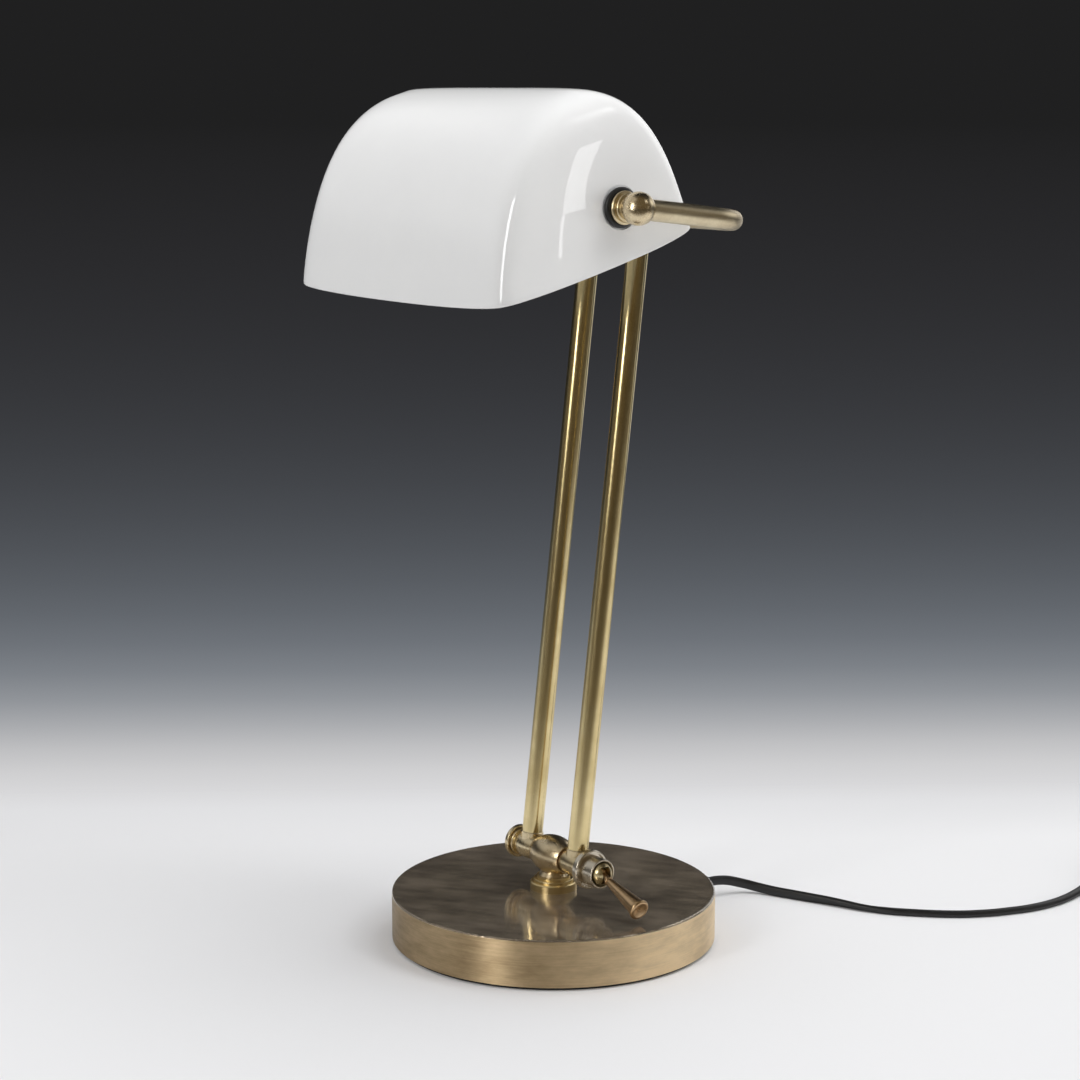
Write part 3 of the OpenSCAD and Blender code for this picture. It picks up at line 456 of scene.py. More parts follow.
@dataclass(frozen=True)
class SpunBase:
    """Spun brass: a finely turned bright rim under a browned, polished top."""

    name: str = "spun_brass"
    bright: Rgb = (0.98, 0.77, 0.49)
    dull: Rgb = (0.43, 0.315, 0.178)
    brown: Rgb = (0.49, 0.406, 0.303)
    dark: Rgb = (0.19, 0.158, 0.12)
    # Painted highlight: the rim is painted brighter on its side towards the right-hand lights.
    # These values give that side, the span across it, and its share in the mix with the real
    # smears.
    lit_side: Point = (0.45, 0.89, 0.0)
    lit_side_span: Span = (-0.03, 0.045)
    lit_side_share: float = 0.6
    bright_mix_range: Span = (-0.1, 0.85)
    edge_h: Span = (0.0298, 0.0305)
    cloud_scale: float = 26.0
    cloud_share: float = 0.55
    rub_size: Point = (0.05, 0.012, 0.05)
    rub_turn: Point = (0.0, 0.0, 0.6)
    rub_scale: float = 2.0
    smear_size: Point = (0.05, 0.05, 0.014)
    smear_scale: float = 1.6
    line_share: float = 0.15
    line_depth: float = 0.1
    line_reach: float = 0.0003
    top_tarnish: Span = (0.25, 0.35)
    top_rough: Span = (0.07, 0.13)
    # Metal share taken off the rim's painted lit side
    lit_side_metal_cut: float = 0.2
    rim_rough: float = 0.5
    coat: float = 0.4
    coat_rough: float = 0.06
    drawn: float = 0.95
    quarter_turn: float = 0.25

    def build(self, effects: Effects) -> bpy.types.Material:
        """Builds the material.

        Args:
            effects: Shared node groups.

        Returns:
            The finished material.
        """
        material, tree, shader = new_material(self.name)
        place = tree.add("TexCoord").outputs["Object"]
        top = tree.span(tree.add("SeparateXYZ", {0: place}).outputs[2], *self.edge_h)
        side = tree.math("SUBTRACT", 1.0, top)
        cloud = effects.patches(tree, place, self.cloud_scale)
        rub = tree.stretch(place, self.rub_size, self.rub_turn)
        rubbed = effects.patches(tree, rub, self.rub_scale)
        patch = tree.blend(cloud, self.cloud_share, rubbed, 1 - self.cloud_share)
        lines = effects.brushing(tree, tree.stretch(place, GRAIN_SIZE[Grain.RIM]))
        smear = effects.patches(tree, tree.stretch(place, self.smear_size), self.smear_scale)
        # Painted highlight: the rim's side towards the right-hand lights is painted brighter and a
        # little less metallic, then mixed with real smears and lines
        painted_lit_side = tree.span(tree.dot(place, self.lit_side), *self.lit_side_span)
        bright_mix = tree.blend(painted_lit_side, self.lit_side_share, smear, 1 - self.lit_side_share)
        bright_mix = tree.math("SUBTRACT", bright_mix, tree.math("MULTIPLY", lines, self.line_share))
        rim = tree.mix(tree.span(bright_mix, *self.bright_mix_range), self.dull, self.bright)
        browned = tree.mix(patch, self.dark, self.brown)
        tree.link(tree.mix(top, rim, browned), shader.inputs["Base Color"])
        top_dull = tree.span(patch, 0.0, 1.0, *self.top_tarnish)
        # The rim's painted lit side loses some metal, while the top keeps its real tarnish
        lit_metal_cut = tree.math("MULTIPLY", painted_lit_side, self.lit_side_metal_cut)
        tarnish_and_lit_side = tree.blend(top, top_dull, side, lit_metal_cut)
        tree.link(tree.math("SUBTRACT", 1.0, tarnish_and_lit_side), shader.inputs["Metallic"])
        polish = tree.span(patch, 0.0, 1.0, *self.top_rough)
        rough = tree.blend(top, polish, side, self.rim_rough)
        tree.link(rough, shader.inputs["Roughness"])
        tree.bump(shader, tree.math("MULTIPLY", lines, side), self.line_depth, self.line_reach)
        tree.link(tree.math("MULTIPLY", top, self.coat), shader.inputs["Coat Weight"])
        shader.inputs["Coat Roughness"].default_value = self.coat_rough
        turning = tree.add("Tangent", direction_type="RADIAL", axis="Z")
        tree.link(turning.outputs[0], shader.inputs["Tangent"])
        shader.inputs["Anisotropic"].default_value = self.drawn
        shader.inputs["Anisotropic Rotation"].default_value = self.quarter_turn
        return material


@dataclass(frozen=True)
class Plain:
    """A cast, moulded or plated finish with a little unevenness."""

    name: str
    colour: Rgb
    shade: Rgb
    rough: Span
    metallic: float = 0.0
    scale: float = 400.0
    bump: float = 0.05

    def build(self, effects: Effects) -> bpy.types.Material:
        """Builds the material.

        Args:
            effects: Shared node groups.

        Returns:
            The finished material.
        """
        material, tree, shader = new_material(self.name)
        place = tree.add("TexCoord").outputs["Object"]
        patch = effects.patches(tree, place, self.scale)
        tree.link(tree.mix(patch, self.shade, self.colour), shader.inputs["Base Color"])
        tree.link(tree.span(patch, 0.0, 1.0, *self.rough), shader.inputs["Roughness"])
        tree.bump(shader, patch, self.bump)
        shader.inputs["Metallic"].default_value = self.metallic
        return material


@dataclass(frozen=True)
class OpalGlass:
    """Polished milk glass with a faint cloudiness."""

    name: str = "opal_glass"
    white: Rgb = (0.86, 0.86, 0.85)
    cloud: Rgb = (0.83, 0.83, 0.825)
    cloud_scale: float = 9.0
    rough: Span = (0.012, 0.02)
    ior: float = 1.5

    def build(self, effects: Effects) -> bpy.types.Material:
        """Builds the material.

        Args:
            effects: Shared node groups.

        Returns:
            The finished material.
        """
        material, tree, shader = new_material(self.name)
        place = tree.add("TexCoord").outputs["Object"]
        patch = effects.patches(tree, place, self.cloud_scale)
        tree.link(tree.mix(patch, self.cloud, self.white), shader.inputs["Base Color"])
        tree.link(tree.span(patch, 0.0, 1.0, *self.rough), shader.inputs["Roughness"])
        shader.inputs["IOR"].default_value = self.ior
        return material


# Camera and studio


@dataclass
class PhotoCamera:
    """Camera that stands where the photograph was taken from."""

    place: Point = (1.22944, -0.89983, 0.525)
    right: Point = (0.58614, 0.81021, 0.0)
    up: Point = (-0.14287, 0.10336, 0.98433)
    lens: float = 84.5067
    sensor: float = 36.0
    sight: float = 100.0

    def build(self) -> None:
        """Adds the camera and makes it the scene's."""
        data = bpy.data.cameras.new("photo_camera")
        data.sensor_width = self.sensor
        data.lens = self.lens
        data.clip_end = self.sight
        camera = bpy.data.objects.new("photo_camera", data)
        bpy.context.collection.objects.link(camera)
        right = Vector(self.right).normalized()
        up = Vector(self.up).normalized()
        back = right.cross(up)
        turn = Matrix((right, up, back)).transposed().to_4x4()
        camera.matrix_world = Matrix.Translation(self.place) @ turn
        bpy.context.scene.camera = camera


@dataclass(frozen=True)
class SoftBox:
    """One oblong studio light: brightest in its middle if soft, unseen in mirrors if fill.

    Angles are in degrees and lengths in metres. The azimuth turns from the front to the right.
    """

    name: str
    azimuth: float
    height: float
    distance: float
    size: tuple[float, float]
    power: float
    aim: Point = (0.0, 0.0, 0.3)
    roll: float = 0.0
    soft: float = 0.0
    fill: bool = False

    def build(self) -> None:
        """Adds the light, turned to its aim."""
        data = bpy.data.lights.new(self.name, "AREA")
        data.shape = "RECTANGLE"
        data.size, data.size_y = self.size
        data.energy = self.power
        light = bpy.data.objects.new(self.name, data)
        bpy.context.collection.objects.link(light)
        angle = math.radians(self.azimuth)
        out = Vector((math.sin(angle), -math.cos(angle), 0.0)) * self.distance
        place = out + Vector((0.0, 0.0, self.height))
        facing = (Vector(self.aim) - place).to_track_quat("-Z", "Y")
        rolled = Matrix.Rotation(math.radians(self.roll), 3, "Z").to_quaternion()
        light.rotation_mode = "QUATERNION"
        light.rotation_quaternion = facing @ rolled
        light.location = place
        light.visible_glossy = not self.fill
        if self.soft:
            self._soften(data)

    def _soften(self, data: bpy.types.AreaLight) -> None:
        """Lets the light fall off towards its edges.

        Args:
            data: The light's data.
        """
        data.use_nodes = True
        tree = Tree(data.node_tree)
        across = tree.add("SeparateXYZ", {0: tree.add("NewGeometry").outputs["Parametric"]})
        level = None
        for axis in (0, 1):
            share = across.outputs[axis]
            edge = tree.math("MINIMUM", share, tree.math("SUBTRACT", 1.0, share))
            reach = {0: edge, 1: 0.0, 2: self.soft / 2}
            part = tree.add("MapRange", reach, interpolation_type="SMOOTHSTEP").outputs[0]
            level = part if level is None else tree.math("MULTIPLY", level, part)
        tree.link(level, data.node_tree.nodes["Emission"].inputs["Strength"])


@dataclass
class Studio:
    """Pale table in a dark room, which falls off behind the lamp, with soft lights.

    The backdrop's glow is the ceiling's tone and three parts that fall off with the distance
    behind the lamp. Each fall gives the distance of the half, in metres, and how steep it is.
    """

    floor_r: float = 40.0
    floor_sides: int = 96
    nearest: float = 0.1
    pale: Rgb = (0.78, 0.78, 0.785)
    away: Point = (-0.8321, 0.5547, 0.0)
    right: Point = (0.5862, 0.8102, 0.0)
    blend_in: Span = (0.2, 0.34)
    front_end: Span = (-0.8, -0.45)
    right_end: Span = (1.45, 1.15)
    room_turn: Span = (0.3, -0.35)
    reach: Span = (0.294, 34.0)
    stops: int = 32
    ceiling: Rgb = (0.0145, 0.0145, 0.0148)
    dusk: Rgb = (0.0176, 0.0167, 0.0203)
    pool: Rgb = (0.3604, 0.3116, 0.2656)
    pool_fall: Span = (0.525, 6.787)
    haze: Rgb = (0.4573, 0.5231, 0.5987)
    haze_fall: Span = (0.504, 2.028)
    beyond: Rgb = (0.12, 0.1, 0.07)
    room: Rgb = (0.13, 0.102, 0.06)
    ambient: Rgb = (0.3, 0.3, 0.31)
    lights: tuple = (
        SoftBox("key_strip", 11.0, 0.91, 1.6, (0.36, 1.0), 11.0, aim=(0.0, 0.0, 0.86), soft=0.2),
        SoftBox("left_panel", -60.0, 0.4, 1.8, (3.2, 0.8), 7.5, soft=0.3, fill=True),
        SoftBox("left_card", -62.0, 1.3, 1.8, (3.6, 1.5), 8.0, soft=0.5),
        SoftBox("sky_card", -20.0, 1.7, 0.9, (1.8, 1.4), 3.5, soft=0.5),
        SoftBox("right_box", 124.0, 1.7, 1.4, (1.4, 1.3), 22.0, soft=0.8, fill=True),
        SoftBox("right_fill", 122.0, 0.35, 1.8, (1.5, 0.6), 10.0, fill=True),
        SoftBox("right_card", 168.0, 1.0, 1.4, (1.4, 1.0), 6.0, soft=0.8),
        SoftBox("top_box", 150.0, 1.9, 0.25, (1.5, 1.5), 29.0, soft=0.6, fill=True),
        SoftBox("top_spot", 122.0, 1.75, 1.55, (0.4, 0.7), 3.6, aim=(0.0, 0.0, 0.5), soft=1.0),
        SoftBox("back_panel", 200.0, 0.4, 1.6, (0.8, 0.8), 1.2),
        SoftBox("back_strip", 205.0, 1.0, 1.9, (0.3, 0.7), 1.2),
        SoftBox("window", 119.7, 0.685, 1.558, (0.03, 0.33), 0.11,
                aim=(0.107, -0.06, 0.475), roll=7.0),
        SoftBox("window_gap", 119.87, 0.49, 1.553, (0.006, 0.057), 0.005,
                aim=(0.11, -0.0755, 0.443)),
    )

    def build(self) -> None:
        """Adds floor, world and lights."""
        self._floor()
        self._world()
        for light in self.lights:
            light.build()

    def _floor(self) -> None:
        """Adds the floor, lit round the lamp and fading out behind it."""
        deselect()
        bpy.ops.mesh.primitive_circle_add(
            vertices=self.floor_sides, radius=self.floor_r, fill_type="TRIFAN"
        )
        floor = bpy.context.object
        floor.name = "floor"
        material = bpy.data.materials.new("floor")
        material.use_nodes = True
        tree = Tree(material.node_tree)
        material.node_tree.nodes.remove(material.node_tree.nodes["Principled BSDF"])
        place = tree.add("TexCoord").outputs["Object"]
        depth = tree.dot(place, self.away)
        log_depth = tree.math("LOGARITHM", tree.math("MAXIMUM", depth, self.nearest), 10.0)
        first, last = (math.log10(end) for end in self.reach)
        ramp = tree.add("ValToRGB", {0: tree.span(log_depth, first, last)})
        marks = ramp.color_ramp.elements
        for index in range(1, self.stops - 1):
            marks.new(index / (self.stops - 1))
        for mark in marks:
            mark.color = rgba(self._glow(mark.position))
        ahead = tree.span(depth, *self.front_end)
        beside = tree.span(tree.dot(place, self.right), *self.right_end)
        table = tree.math("MULTIPLY", ahead, beside)
        lit = tree.add("BsdfDiffuse", {"Color": tree.mix(table, self.beyond, self.pale)})
        glow = tree.add("Emission", {"Color": ramp.outputs[0], "Strength": self._seen(tree)})
        fade = tree.span(depth, *self.blend_in)
        both = tree.add("MixShader", {0: fade, 1: lit.outputs[0], 2: glow.outputs[0]})
        tree.link(both.outputs[0], material.node_tree.nodes["Material Output"].inputs[0])
        dress(floor, material)

    def _glow(self, share: float) -> Rgb:
        """Glow of the backdrop: a pool of light, a blue haze round it and dusk to the far end.

        Args:
            share: Way from the near to the far end, in even ratios, from 0 to 1.

        Returns:
            The colour there.
        """
        near, far = self.reach
        distance = near * (far / near) ** share
        pool, haze = (
            1 / (1 + (distance / half) ** steep) for half, steep in (self.pool_fall, self.haze_fall)
        )
        parts = zip(self.ceiling, self.dusk, self.pool, self.haze)
        return tuple(c + d * (1 - share) + p * pool + h * haze for c, d, p, h in parts)

    def _world(self) -> None:
        """Adds a dim room, dark behind the lamp and lighter where only mirrors or light see it."""
        world = bpy.data.worlds.new("room")
        bpy.context.scene.world = world
        world.use_nodes = True
        tree = Tree(world.node_tree)
        heading = tree.add("TexCoord").outputs["Generated"]
        turned = tree.span(tree.dot(heading, self.away), *self.room_turn)
        mirrored = tree.mix(turned, self.ceiling, self.room)
        rays = tree.add("LightPath").outputs
        colour = tree.mix(rays["Is Glossy Ray"], self.ambient, mirrored)
        direct = tree.math("MAXIMUM", rays["Is Camera Ray"], rays["Is Transmission Ray"])
        colour = tree.mix(direct, colour, self.ceiling)
        tree.link(colour, world.node_tree.nodes["Background"].inputs["Color"])

    @staticmethod
    def _seen(tree: Tree) -> Socket:
        """One for rays that end in the picture, straight or by a mirror or glass, and else zero."""
        rays = tree.add("LightPath").outputs
        seen = tree.math("MAXIMUM", rays["Is Camera Ray"], rays["Is Glossy Ray"])
        return tree.math("MAXIMUM", seen, rays["Is Transmission Ray"])


# Cord


@dataclass
class Lead:
    """Flat twin lead: it lies on the desk, and its unseen length is wound and tied.

    Sizes are in millimetres, and the length is in metres. Each row of the route gives x and y
    from the gland, the share of the gland's height, the roll in degrees and the share of the
    lift over the tie.
    """

    width: float = 6.3
    thick: float = 4.0
    gland_h: float = 11.0
    start_y: float = 125.0
    tie_t: float = 0.8
    tie_gap: float = 0.2
    length: float = 1.8
    coil_steps: int = 24
    coil_inner: float = 27.5
    layer_rings: int = 68
    climb_turns: float = 0.5
    coil_heading: Point = (-0.25, 0.97, 0.0)
    turn_gap: float = 0.6
    layer_gap: float = 0.5
    tail: float = 5.0
    tail_marks: tuple = (0.25, 0.6, 1.0)
    groove_w: float = 0.75
    groove_depth: float = 0.16
    knot_steps: int = 4
    smooth_to: float = 50.0
    route: tuple = (
        (0, 0, 1, 90, 0), (0, 8, 0.96, 90, 0), (1, 17, 0.78, 90, 0), (5, 27, 0.4, 90, 0),
        (12, 34, 0.13, 90, 0), (22, 39, 0.02, 90, 0), (33, 44, 0, 86, 0), (44, 49, 0, 76, 0),
        (56, 55, 0, 60, 0), (67, 60, 0, 44, 0), (78, 65, 0, 26, 0), (88, 71, 0, 10, 0),
        (97, 77.5, 0, 0, 0), (105, 85, 0, 0, 0), (113, 93, 0, 0, 0), (120, 101, 0, 0, 0),
        (126, 109, 0, 0, 0), (131, 118, 0, 0, 0), (135.5, 128, 0, 0, 0), (139, 139, 0, 0, 0),
        (142, 150, 0, 0, 0), (143.5, 162, 0, 0, 0), (143.5, 174, 0, 0, 0), (142, 186, 0, 0, 0),
        (139, 198, 0, 0, 0), (135, 210, 0, 0, 0), (130.5, 221, 0, 0, 0.1), (126.5, 232, 0, 0, 0.4),
        (123, 243, 0, 0, 0.8), (120, 254, 0, 0, 1), (118, 262, 0, 0, 1),
    )
    section: int = 20
    path: list[Vector] = field(default_factory=list)

    def _lying(self, roll: float) -> float:
        """Height of the middle of the lead on the desk at a roll in degrees."""
        turn = math.radians(roll)
        return math.hypot(self.width * math.sin(turn), self.thick * math.cos(turn)) / 2

    def _free(self) -> tuple[list[Vector], list[float]]:
        """Points of the free stretch, smoothed between the route's own.

        Returns:
            The points in millimetres and the roll at each, in degrees.
        """
        lift = self.tie_t + self.tie_gap
        knots = [
            Vector((x, y + self.start_y,
                    self._lying(roll) + high * (self.gland_h - self._lying(90)) + tied * lift))
            for x, y, high, roll, tied in self.route
        ]
        turns = [row[3] for row in self.route]
        points, rolls = [], []
        for i in range(len(knots) - 1):
            before, after = knots[max(i - 1, 0)], knots[min(i + 2, len(knots) - 1)]
            for step in range(self.knot_steps):
                t = step / self.knot_steps
                points.append(self._spline(before, knots[i], knots[i + 1], after, t))
                rolls.append(turns[i] + (turns[i + 1] - turns[i]) * t)
        points.append(knots[-1])
        rolls.append(turns[-1])
        return points, rolls

    @staticmethod
    def _spline(a: Vector, b: Vector, c: Vector, d: Vector, t: float) -> Vector:
        """Point between b and c on the smooth curve through a, b, c and d."""
        return 0.5 * (2 * b + (c - a) * t + (2 * a - 5 * b + 4 * c - d) * t * t
                      + (3 * b - a - 3 * c + d) * t ** 3)

    def _coil(self, start: Vector) -> list[Vector]:
        """Loops of the put-away length: in along the lower layer, up, and out along the upper.

        Args:
            start: End of the free stretch, in millimetres.

        Returns:
            Points in millimetres.
        """
        heading = Vector(self.coil_heading).normalized()
        side = Vector((heading.y, -heading.x, 0))
        pitch, layer = self.width + self.turn_gap, self.thick + self.layer_gap
        layer_turns = self.layer_rings / self.coil_steps
        outer = self.coil_inner + layer_turns * pitch
        dip = pitch * self.climb_turns / math.pi
        entry = start + heading * self.width
        middle = entry + side * outer
        first = math.atan2(-side.y, -side.x)
        turns = 2 * layer_turns + self.climb_turns
        rings = round(turns * self.coil_steps * 2)
        points = []
        for i in range(rings + 1):
            turn = i * turns / rings
            share = min(1.0, max(0.0, (turn - layer_turns) / self.climb_turns))
            if turn < layer_turns:
                r = outer - turn * pitch
            else:
                r = self.coil_inner - dip * math.sin(math.pi * share)
                r += max(0.0, turn - layer_turns - self.climb_turns) * pitch
            angle = first - 2 * math.pi * turn
            rise = layer * (1 - math.cos(math.pi * share)) / 2
            points.append(middle + Vector((r * math.cos(angle), r * math.sin(angle), rise)))
        last = first - 2 * math.pi * turns
        away = Vector((math.sin(last), -math.cos(last), 0))
        straight = away * self.tail * self.width
        points += [points[-1] + straight * mark for mark in self.tail_marks]
        return points

    def _outline(self) -> list[tuple[float, float]]:
        """Cross section of the twin lead: two round cores with a groove between.

        Returns:
            Points across and up, in millimetres.
        """
        r = self.thick / 2
        core = self.width / 2 - r
        points = []
        for j in range(self.section):
            angle = 2 * math.pi * (j + 0.5) / self.section
            side = 1 if math.cos(angle) > 0 else -1
            u, v = side * core + r * math.cos(angle), r * math.sin(angle)
            waist = math.exp(-(u / self.groove_w) ** 2)
            points.append((u, v * (1 - self.groove_depth * waist)))
        return points

    def build(self, material: bpy.types.Material, with_nodes: Sequence[str]) -> bpy.types.Object:
        """Args:
            material: Finish of the sheath.
            with_nodes: CAD nodes that are on the lead. Not used.

        Returns:
            The lead.
        """
        points, rolls = self._free()
        coil = self._coil(points[-1])
        rolls += [0.0] * len(coil)
        points += coil
        outline = self._outline()
        verts, faces, count = [], [], len(outline)
        for i, point in enumerate(points):
            ahead = (points[min(i + 1, len(points) - 1)] - points[max(i - 1, 0)]).normalized()
            across = ahead.cross(Vector((0, 0, 1))).normalized()
            upward = across.cross(ahead)
            turn = math.radians(rolls[i])
            c, s = math.cos(turn), math.sin(turn)
            for u, v in outline:
                offset = across * (u * c - v * s) + upward * (u * s + v * c)
                verts.append((point + offset) * MM)
            if i:
                a, b = (i - 1) * count, i * count
                for j in range(count):
                    k = (j + 1) % count
                    faces.append((a + j, b + j, b + k, a + k))
        faces.append(tuple(range(count)))
        faces.append(tuple(reversed(range(len(verts) - count, len(verts)))))
        mesh = bpy.data.meshes.new("lead")
        mesh.from_pydata(verts, [], faces)
        lead = bpy.data.objects.new("lead", mesh)
        bpy.context.collection.objects.link(lead)
        face_outwards(lead)
        smooth(lead, self.smooth_to)
        dress(lead, material)
        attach(lead, Body.BASE.value)
        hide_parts("cord", "cord_coil")
        self.path = [p * MM for p in points]
        return lead


# Shade


@dataclass
class GlassShade:
    """Opal shade: a rounded oblong that draws in towards its ridge. Sizes are in millimetres."""

    pivot: Point = (0.0, -34.478, 458.638)
    tilt: float = 16.6
    half_w: float = 110.9
    front: float = 93.3
    rear: float = 49.0
    height: float = 92.8
    wall: float = 4.0
    pivot_rise: float = 26.8
    ridge_back: float = 0.4
    rim_sag: float = 3.5
    taper: float = 0.048
    corner_rim: float = 13.9
    corner_top: float = 3.9
    corner_fade: float = 0.68
    arch_end: Span = (6.4, 11.5)
    arch_front: Span = (1.1, 2.35)
    arch_rear: Span = (3.0, 2.14)
    sag_curve: float = 2.5
    sag_fade: float = 2.1
    corner_crowd: float = math.radians(10.5)
    around: int = 288
    levels: int = 72
    level_crowd: float = 2.2
    weld: float = 0.01
    rim_round: float = 1.1
    rim_angle: float = math.radians(60)
    seat_sink: float = 0.9
    seat_cut: float = 4.0
    inner_sink: float = 0.4
    hole_r: float = 6.45
    seat_r: float = 12.4
    inner_seat_r: float = 11.0
    bore_sides: int = 64
    smooth_to: float = 40.0

    @staticmethod
    def _drawn_in(k: float, arch: Span) -> float:
        """Share of its full reach that a wall keeps at level k.

        Args:
            k: Level, from 0 at the rim to 1 at the ridge.
            arch: How late the wall starts to draw in, and how round it ends.

        Returns:
            The share, from 1 down to 0.
        """
        return (1 - k ** arch[0]) ** (1 / arch[1])

    def _surface(self, turn: float, share: float) -> Vector:
        """Point of the outer face.

        Args:
            turn: Direction round the shade, in radians.
            share: Way up from the rim to the ridge, from 0 to 1.

        Returns:
            The point in the shade's own frame, in millimetres.
        """
        k = 1 - (1 - share) ** self.level_crowd
        squareness = (self.corner_rim - self.corner_top) * (1 - k) ** self.corner_fade
        power = self.corner_top + squareness
        turn += self.corner_crowd * math.sin(4 * turn)
        c, s = math.cos(turn), math.sin(turn)
        reach = (abs(c) ** power + abs(s) ** power) ** (-1 / power)
        u, v = c * reach, s * reach
        half_w = self.half_w * self._drawn_in(k, self.arch_end) * (1 - self.taper * k)
        if v < 0:
            half_d = self.front * self._drawn_in(k, self.arch_front)
            sag = (1 - abs(u) ** self.sag_curve) * v * v
        else:
            half_d, sag = self.rear * self._drawn_in(k, self.arch_rear), 0.0
        sag += (1 - abs(v) ** self.sag_curve) * u * u
        sag *= self.rim_sag * (1 - k) ** self.sag_fade
        rise = k * self.height - self.pivot_rise - sag
        return Vector((half_w * u, half_d * v + self.ridge_back, rise))

    def _place(self) -> Matrix:
        """Matrix from the shade's own frame in millimetres to the lamp's in metres."""
        turn = Matrix.Rotation(math.radians(self.tilt), 4, "X")
        return Matrix.Scale(MM, 4) @ Matrix.Translation(self.pivot) @ turn

    def build(self, material: bpy.types.Material) -> bpy.types.Object:
        """Models the glass and dresses it.

        Args:
            material: Finish of the glass.

        Returns:
            The shade.
        """
        deselect()
        bpy.ops.mesh.primitive_grid_add(
            x_subdivisions=self.around, y_subdivisions=self.levels, size=2
        )
        shade = bpy.context.object
        shade.name = shade.data.name = "opal_shade"
        for vert in shade.data.vertices:
            vert.co = self._surface((vert.co.x + 1) * math.pi, (vert.co.y + 1) / 2)
        face_outwards(shade, self.weld)
        apply_modifier(shade, "SOLIDIFY", thickness=self.wall, offset=-1.0, use_even_offset=True)
        apply_modifier(shade, "BEVEL", width=self.rim_round, segments=3, limit_method="ANGLE",
                       angle_limit=self.rim_angle)
        level = (self.pivot_rise + self.rim_sag / 2) / self.height
        face = self.half_w * (1 - self.taper * level) - self.seat_sink
        inside = face - (self.wall - self.seat_sink - self.inner_sink)
        half_cut = self.seat_cut / 2
        for side in (1, -1):
            self._bore(shade, side * (face - self.wall), 4 * self.wall, self.hole_r)
            self._bore(shade, side * (face + half_cut), self.seat_cut, self.seat_r)
            self._bore(shade, side * (inside - half_cut), self.seat_cut, self.inner_seat_r)
        shade.data.transform(self._place())
        smooth(shade, self.smooth_to)
        dress(shade, material)
        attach(shade, Body.SHADE.value)
        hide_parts("glass_shade")
        return shade

    def _bore(self, shade: bpy.types.Object, x: float, depth: float, r: float) -> None:
        """Cuts one round hole or ground seat along the pivot axis.

        Args:
            shade: The glass, in its own frame.
            x: Middle of the cut along the axis.
            depth: Length of the cut.
            r: Radius of the cut.
        """
        deselect()
        bpy.ops.mesh.primitive_cylinder_add(
            vertices=self.bore_sides, radius=r, depth=depth, location=(x, 0, 0),
            rotation=(0, math.pi / 2, 0),
        )
        cutter = bpy.context.object
        apply_modifier(shade, "BOOLEAN", object=cutter, operation="DIFFERENCE", solver="EXACT")
        bpy.data.objects.remove(cutter)


# The CAD pieces' finishes


@dataclass
class Metalwork:
    """Finishes of the turned, bent and spun metal pieces."""

    lean: float = math.radians(6.8)
    axis_h: float = 0.0527
    tubes: tuple = ("left_arm_tube", "right_arm_tube", "left_tee", "right_tee")
    yoke: tuple = ("yoke_tube",)
    turned: tuple = ("left_barrel", "right_barrel", "left_end_cap", "left_pivot_collar",
                     "right_pivot_collar")
    silvered: tuple = ("switch_flange", "switch_ring")
    bronze: tuple = ("knuckle", "left_yoke_ball", "right_yoke_ball")
    gold: tuple = ("collar",)
    copper: tuple = ("switch_lever",)
    spun: tuple = ("base_shell",)
    steel: tuple = ("base_plate", "stem", "stem_nut", "stem_washer", "spindle", "spindle_nuts",
                    "toggle_pin", "left_nipple", "right_nipple", "left_lock_nut", "right_lock_nut",
                    "plug_pins")

    def build(self, effects: Effects) -> None:
        """Dresses every metal node.

        Args:
            effects: Shared node groups.
        """
        finishes = (
            (self.tubes, AgedBrass(
                "tube_brass", (0.88, 0.74, 0.42), (0.6, 0.47, 0.22), Grain.TUBE,
                rough=(0.17, 0.25), line_depth=0.001)),
            (self.yoke, AgedBrass(
                "yoke_brass", (0.82, 0.73, 0.52), (0.56, 0.46, 0.3), Grain.NONE,
                rough=(0.3, 0.4), line_depth=0.015)),
            (self.turned, AgedBrass(
                "turned_brass", (0.84, 0.72, 0.48), (0.6, 0.48, 0.28), Grain.TURNED,
                rough=(0.24, 0.34))),
            (self.silvered, AgedBrass(
                "worn_silver", (0.88, 0.83, 0.73), (0.66, 0.59, 0.47), Grain.TURNED,
                rough=(0.22, 0.32), core=(0.62, 0.52, 0.3), core_r=0.0075)),
            (self.bronze, AgedBrass(
                "satin_bronze", (0.8, 0.68, 0.47), (0.58, 0.46, 0.28), Grain.NONE,
                rough=(0.24, 0.32), line_depth=0.02)),
            (self.gold, AgedBrass(
                "bright_brass", (0.88, 0.72, 0.41), (0.64, 0.5, 0.25), Grain.RIM,
                rough=(0.28, 0.38))),
            (self.copper, AgedBrass(
                "copper_brass", (0.74, 0.53, 0.33), (0.54, 0.37, 0.2), Grain.TURNED,
                rough=(0.24, 0.36))),
        )
        for names, finish in finishes:
            dress_nodes(names, finish.build(effects, self.lean, self.axis_h))
        dress_nodes(self.spun, SpunBase().build(effects))
        plated = Plain("plated_steel", (0.6, 0.6, 0.59), (0.45, 0.45, 0.44), (0.25, 0.35),
                       metallic=1.0)
        dress_nodes(self.steel, plated.build(effects))


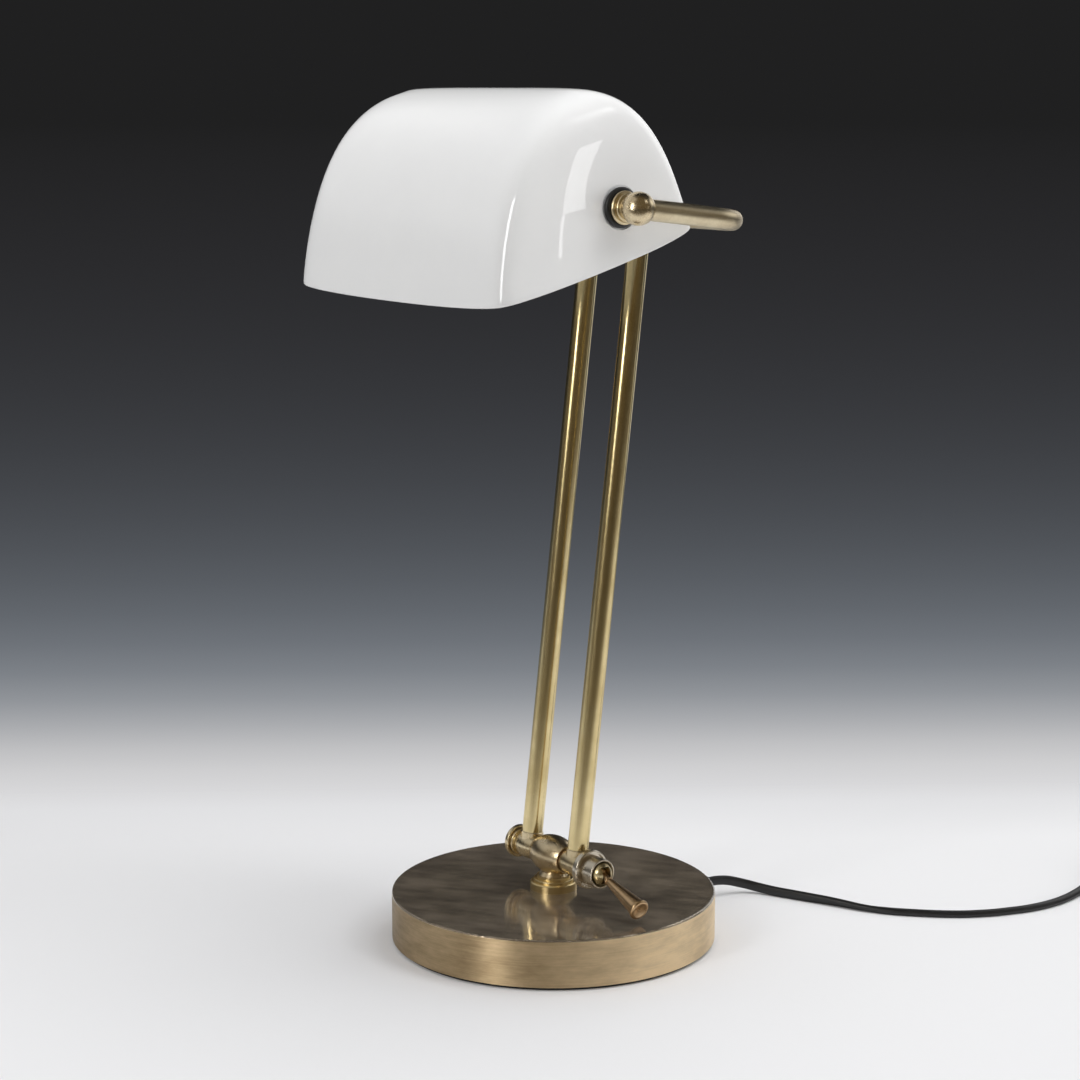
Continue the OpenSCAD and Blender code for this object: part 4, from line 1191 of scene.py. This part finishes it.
@dataclass
class Fittings:
    """Finishes of the moulded, cast and fibre pieces."""

    def build(self, effects: Effects) -> None:
        """Dresses every other node.

        Args:
            effects: Shared node groups.
        """
        finishes = (
            (("base_weight",), Plain(
                "cast_iron", (0.1, 0.1, 0.1), (0.05, 0.05, 0.05), (0.6, 0.8),
                metallic=0.6, bump=0.3)),
            (("felt_pad",), Plain(
                "felt", (0.03, 0.03, 0.03), (0.012, 0.012, 0.012), (0.9, 1.0),
                scale=1500.0, bump=0.8)),
            (("joint_washers",), Plain(
                "fibre", (0.2, 0.09, 0.04), (0.13, 0.06, 0.03), (0.6, 0.75))),
            (("left_outer_washer", "right_outer_washer", "left_inner_washer",
              "right_inner_washer", "cord_gland", "plug_body"), Plain(
                "black_rubber", (0.016, 0.016, 0.016), (0.009, 0.009, 0.009), (0.42, 0.55))),
            (("holder_cap", "holder_shell", "switch_body", "cord_tie"), Plain(
                "black_moulding", (0.02, 0.02, 0.02), (0.012, 0.012, 0.012), (0.22, 0.32))),
            (("holder_insert",), Plain(
                "porcelain", (0.78, 0.76, 0.7), (0.72, 0.7, 0.64), (0.12, 0.2))),
            (("bulb_cap",), Plain(
                "bulb_metal", (0.7, 0.7, 0.69), (0.55, 0.55, 0.54), (0.25, 0.35),
                metallic=1.0)),
            (("bulb_glass",), Plain(
                "frosted_glass", (0.85, 0.84, 0.8), (0.8, 0.79, 0.75), (0.3, 0.4))),
        )
        for names, finish in finishes:
            dress_nodes(names, finish.build(effects))


def main() -> None:
    """Builds the camera, the lead, the shade, the finishes and the studio."""
    bpy.context.scene.view_settings.view_transform = "Standard"
    effects = Effects()
    PhotoCamera().build()
    sheath = Plain("cord_sheath", (0.012, 0.012, 0.012), (0.007, 0.007, 0.007), (0.4, 0.5))
    on_lead = ("cord_gland", "cord_tie", "plug_body", "plug_pins")
    lead = Lead().build(sheath.build(effects), on_lead)
    log.info("built %s", lead.name)
    shade = GlassShade().build(OpalGlass().build(effects))
    log.info("built %s", shade.name)
    Metalwork().build(effects)
    Fittings().build(effects)
    Studio().build()


if __name__ == "__main__":
    main()
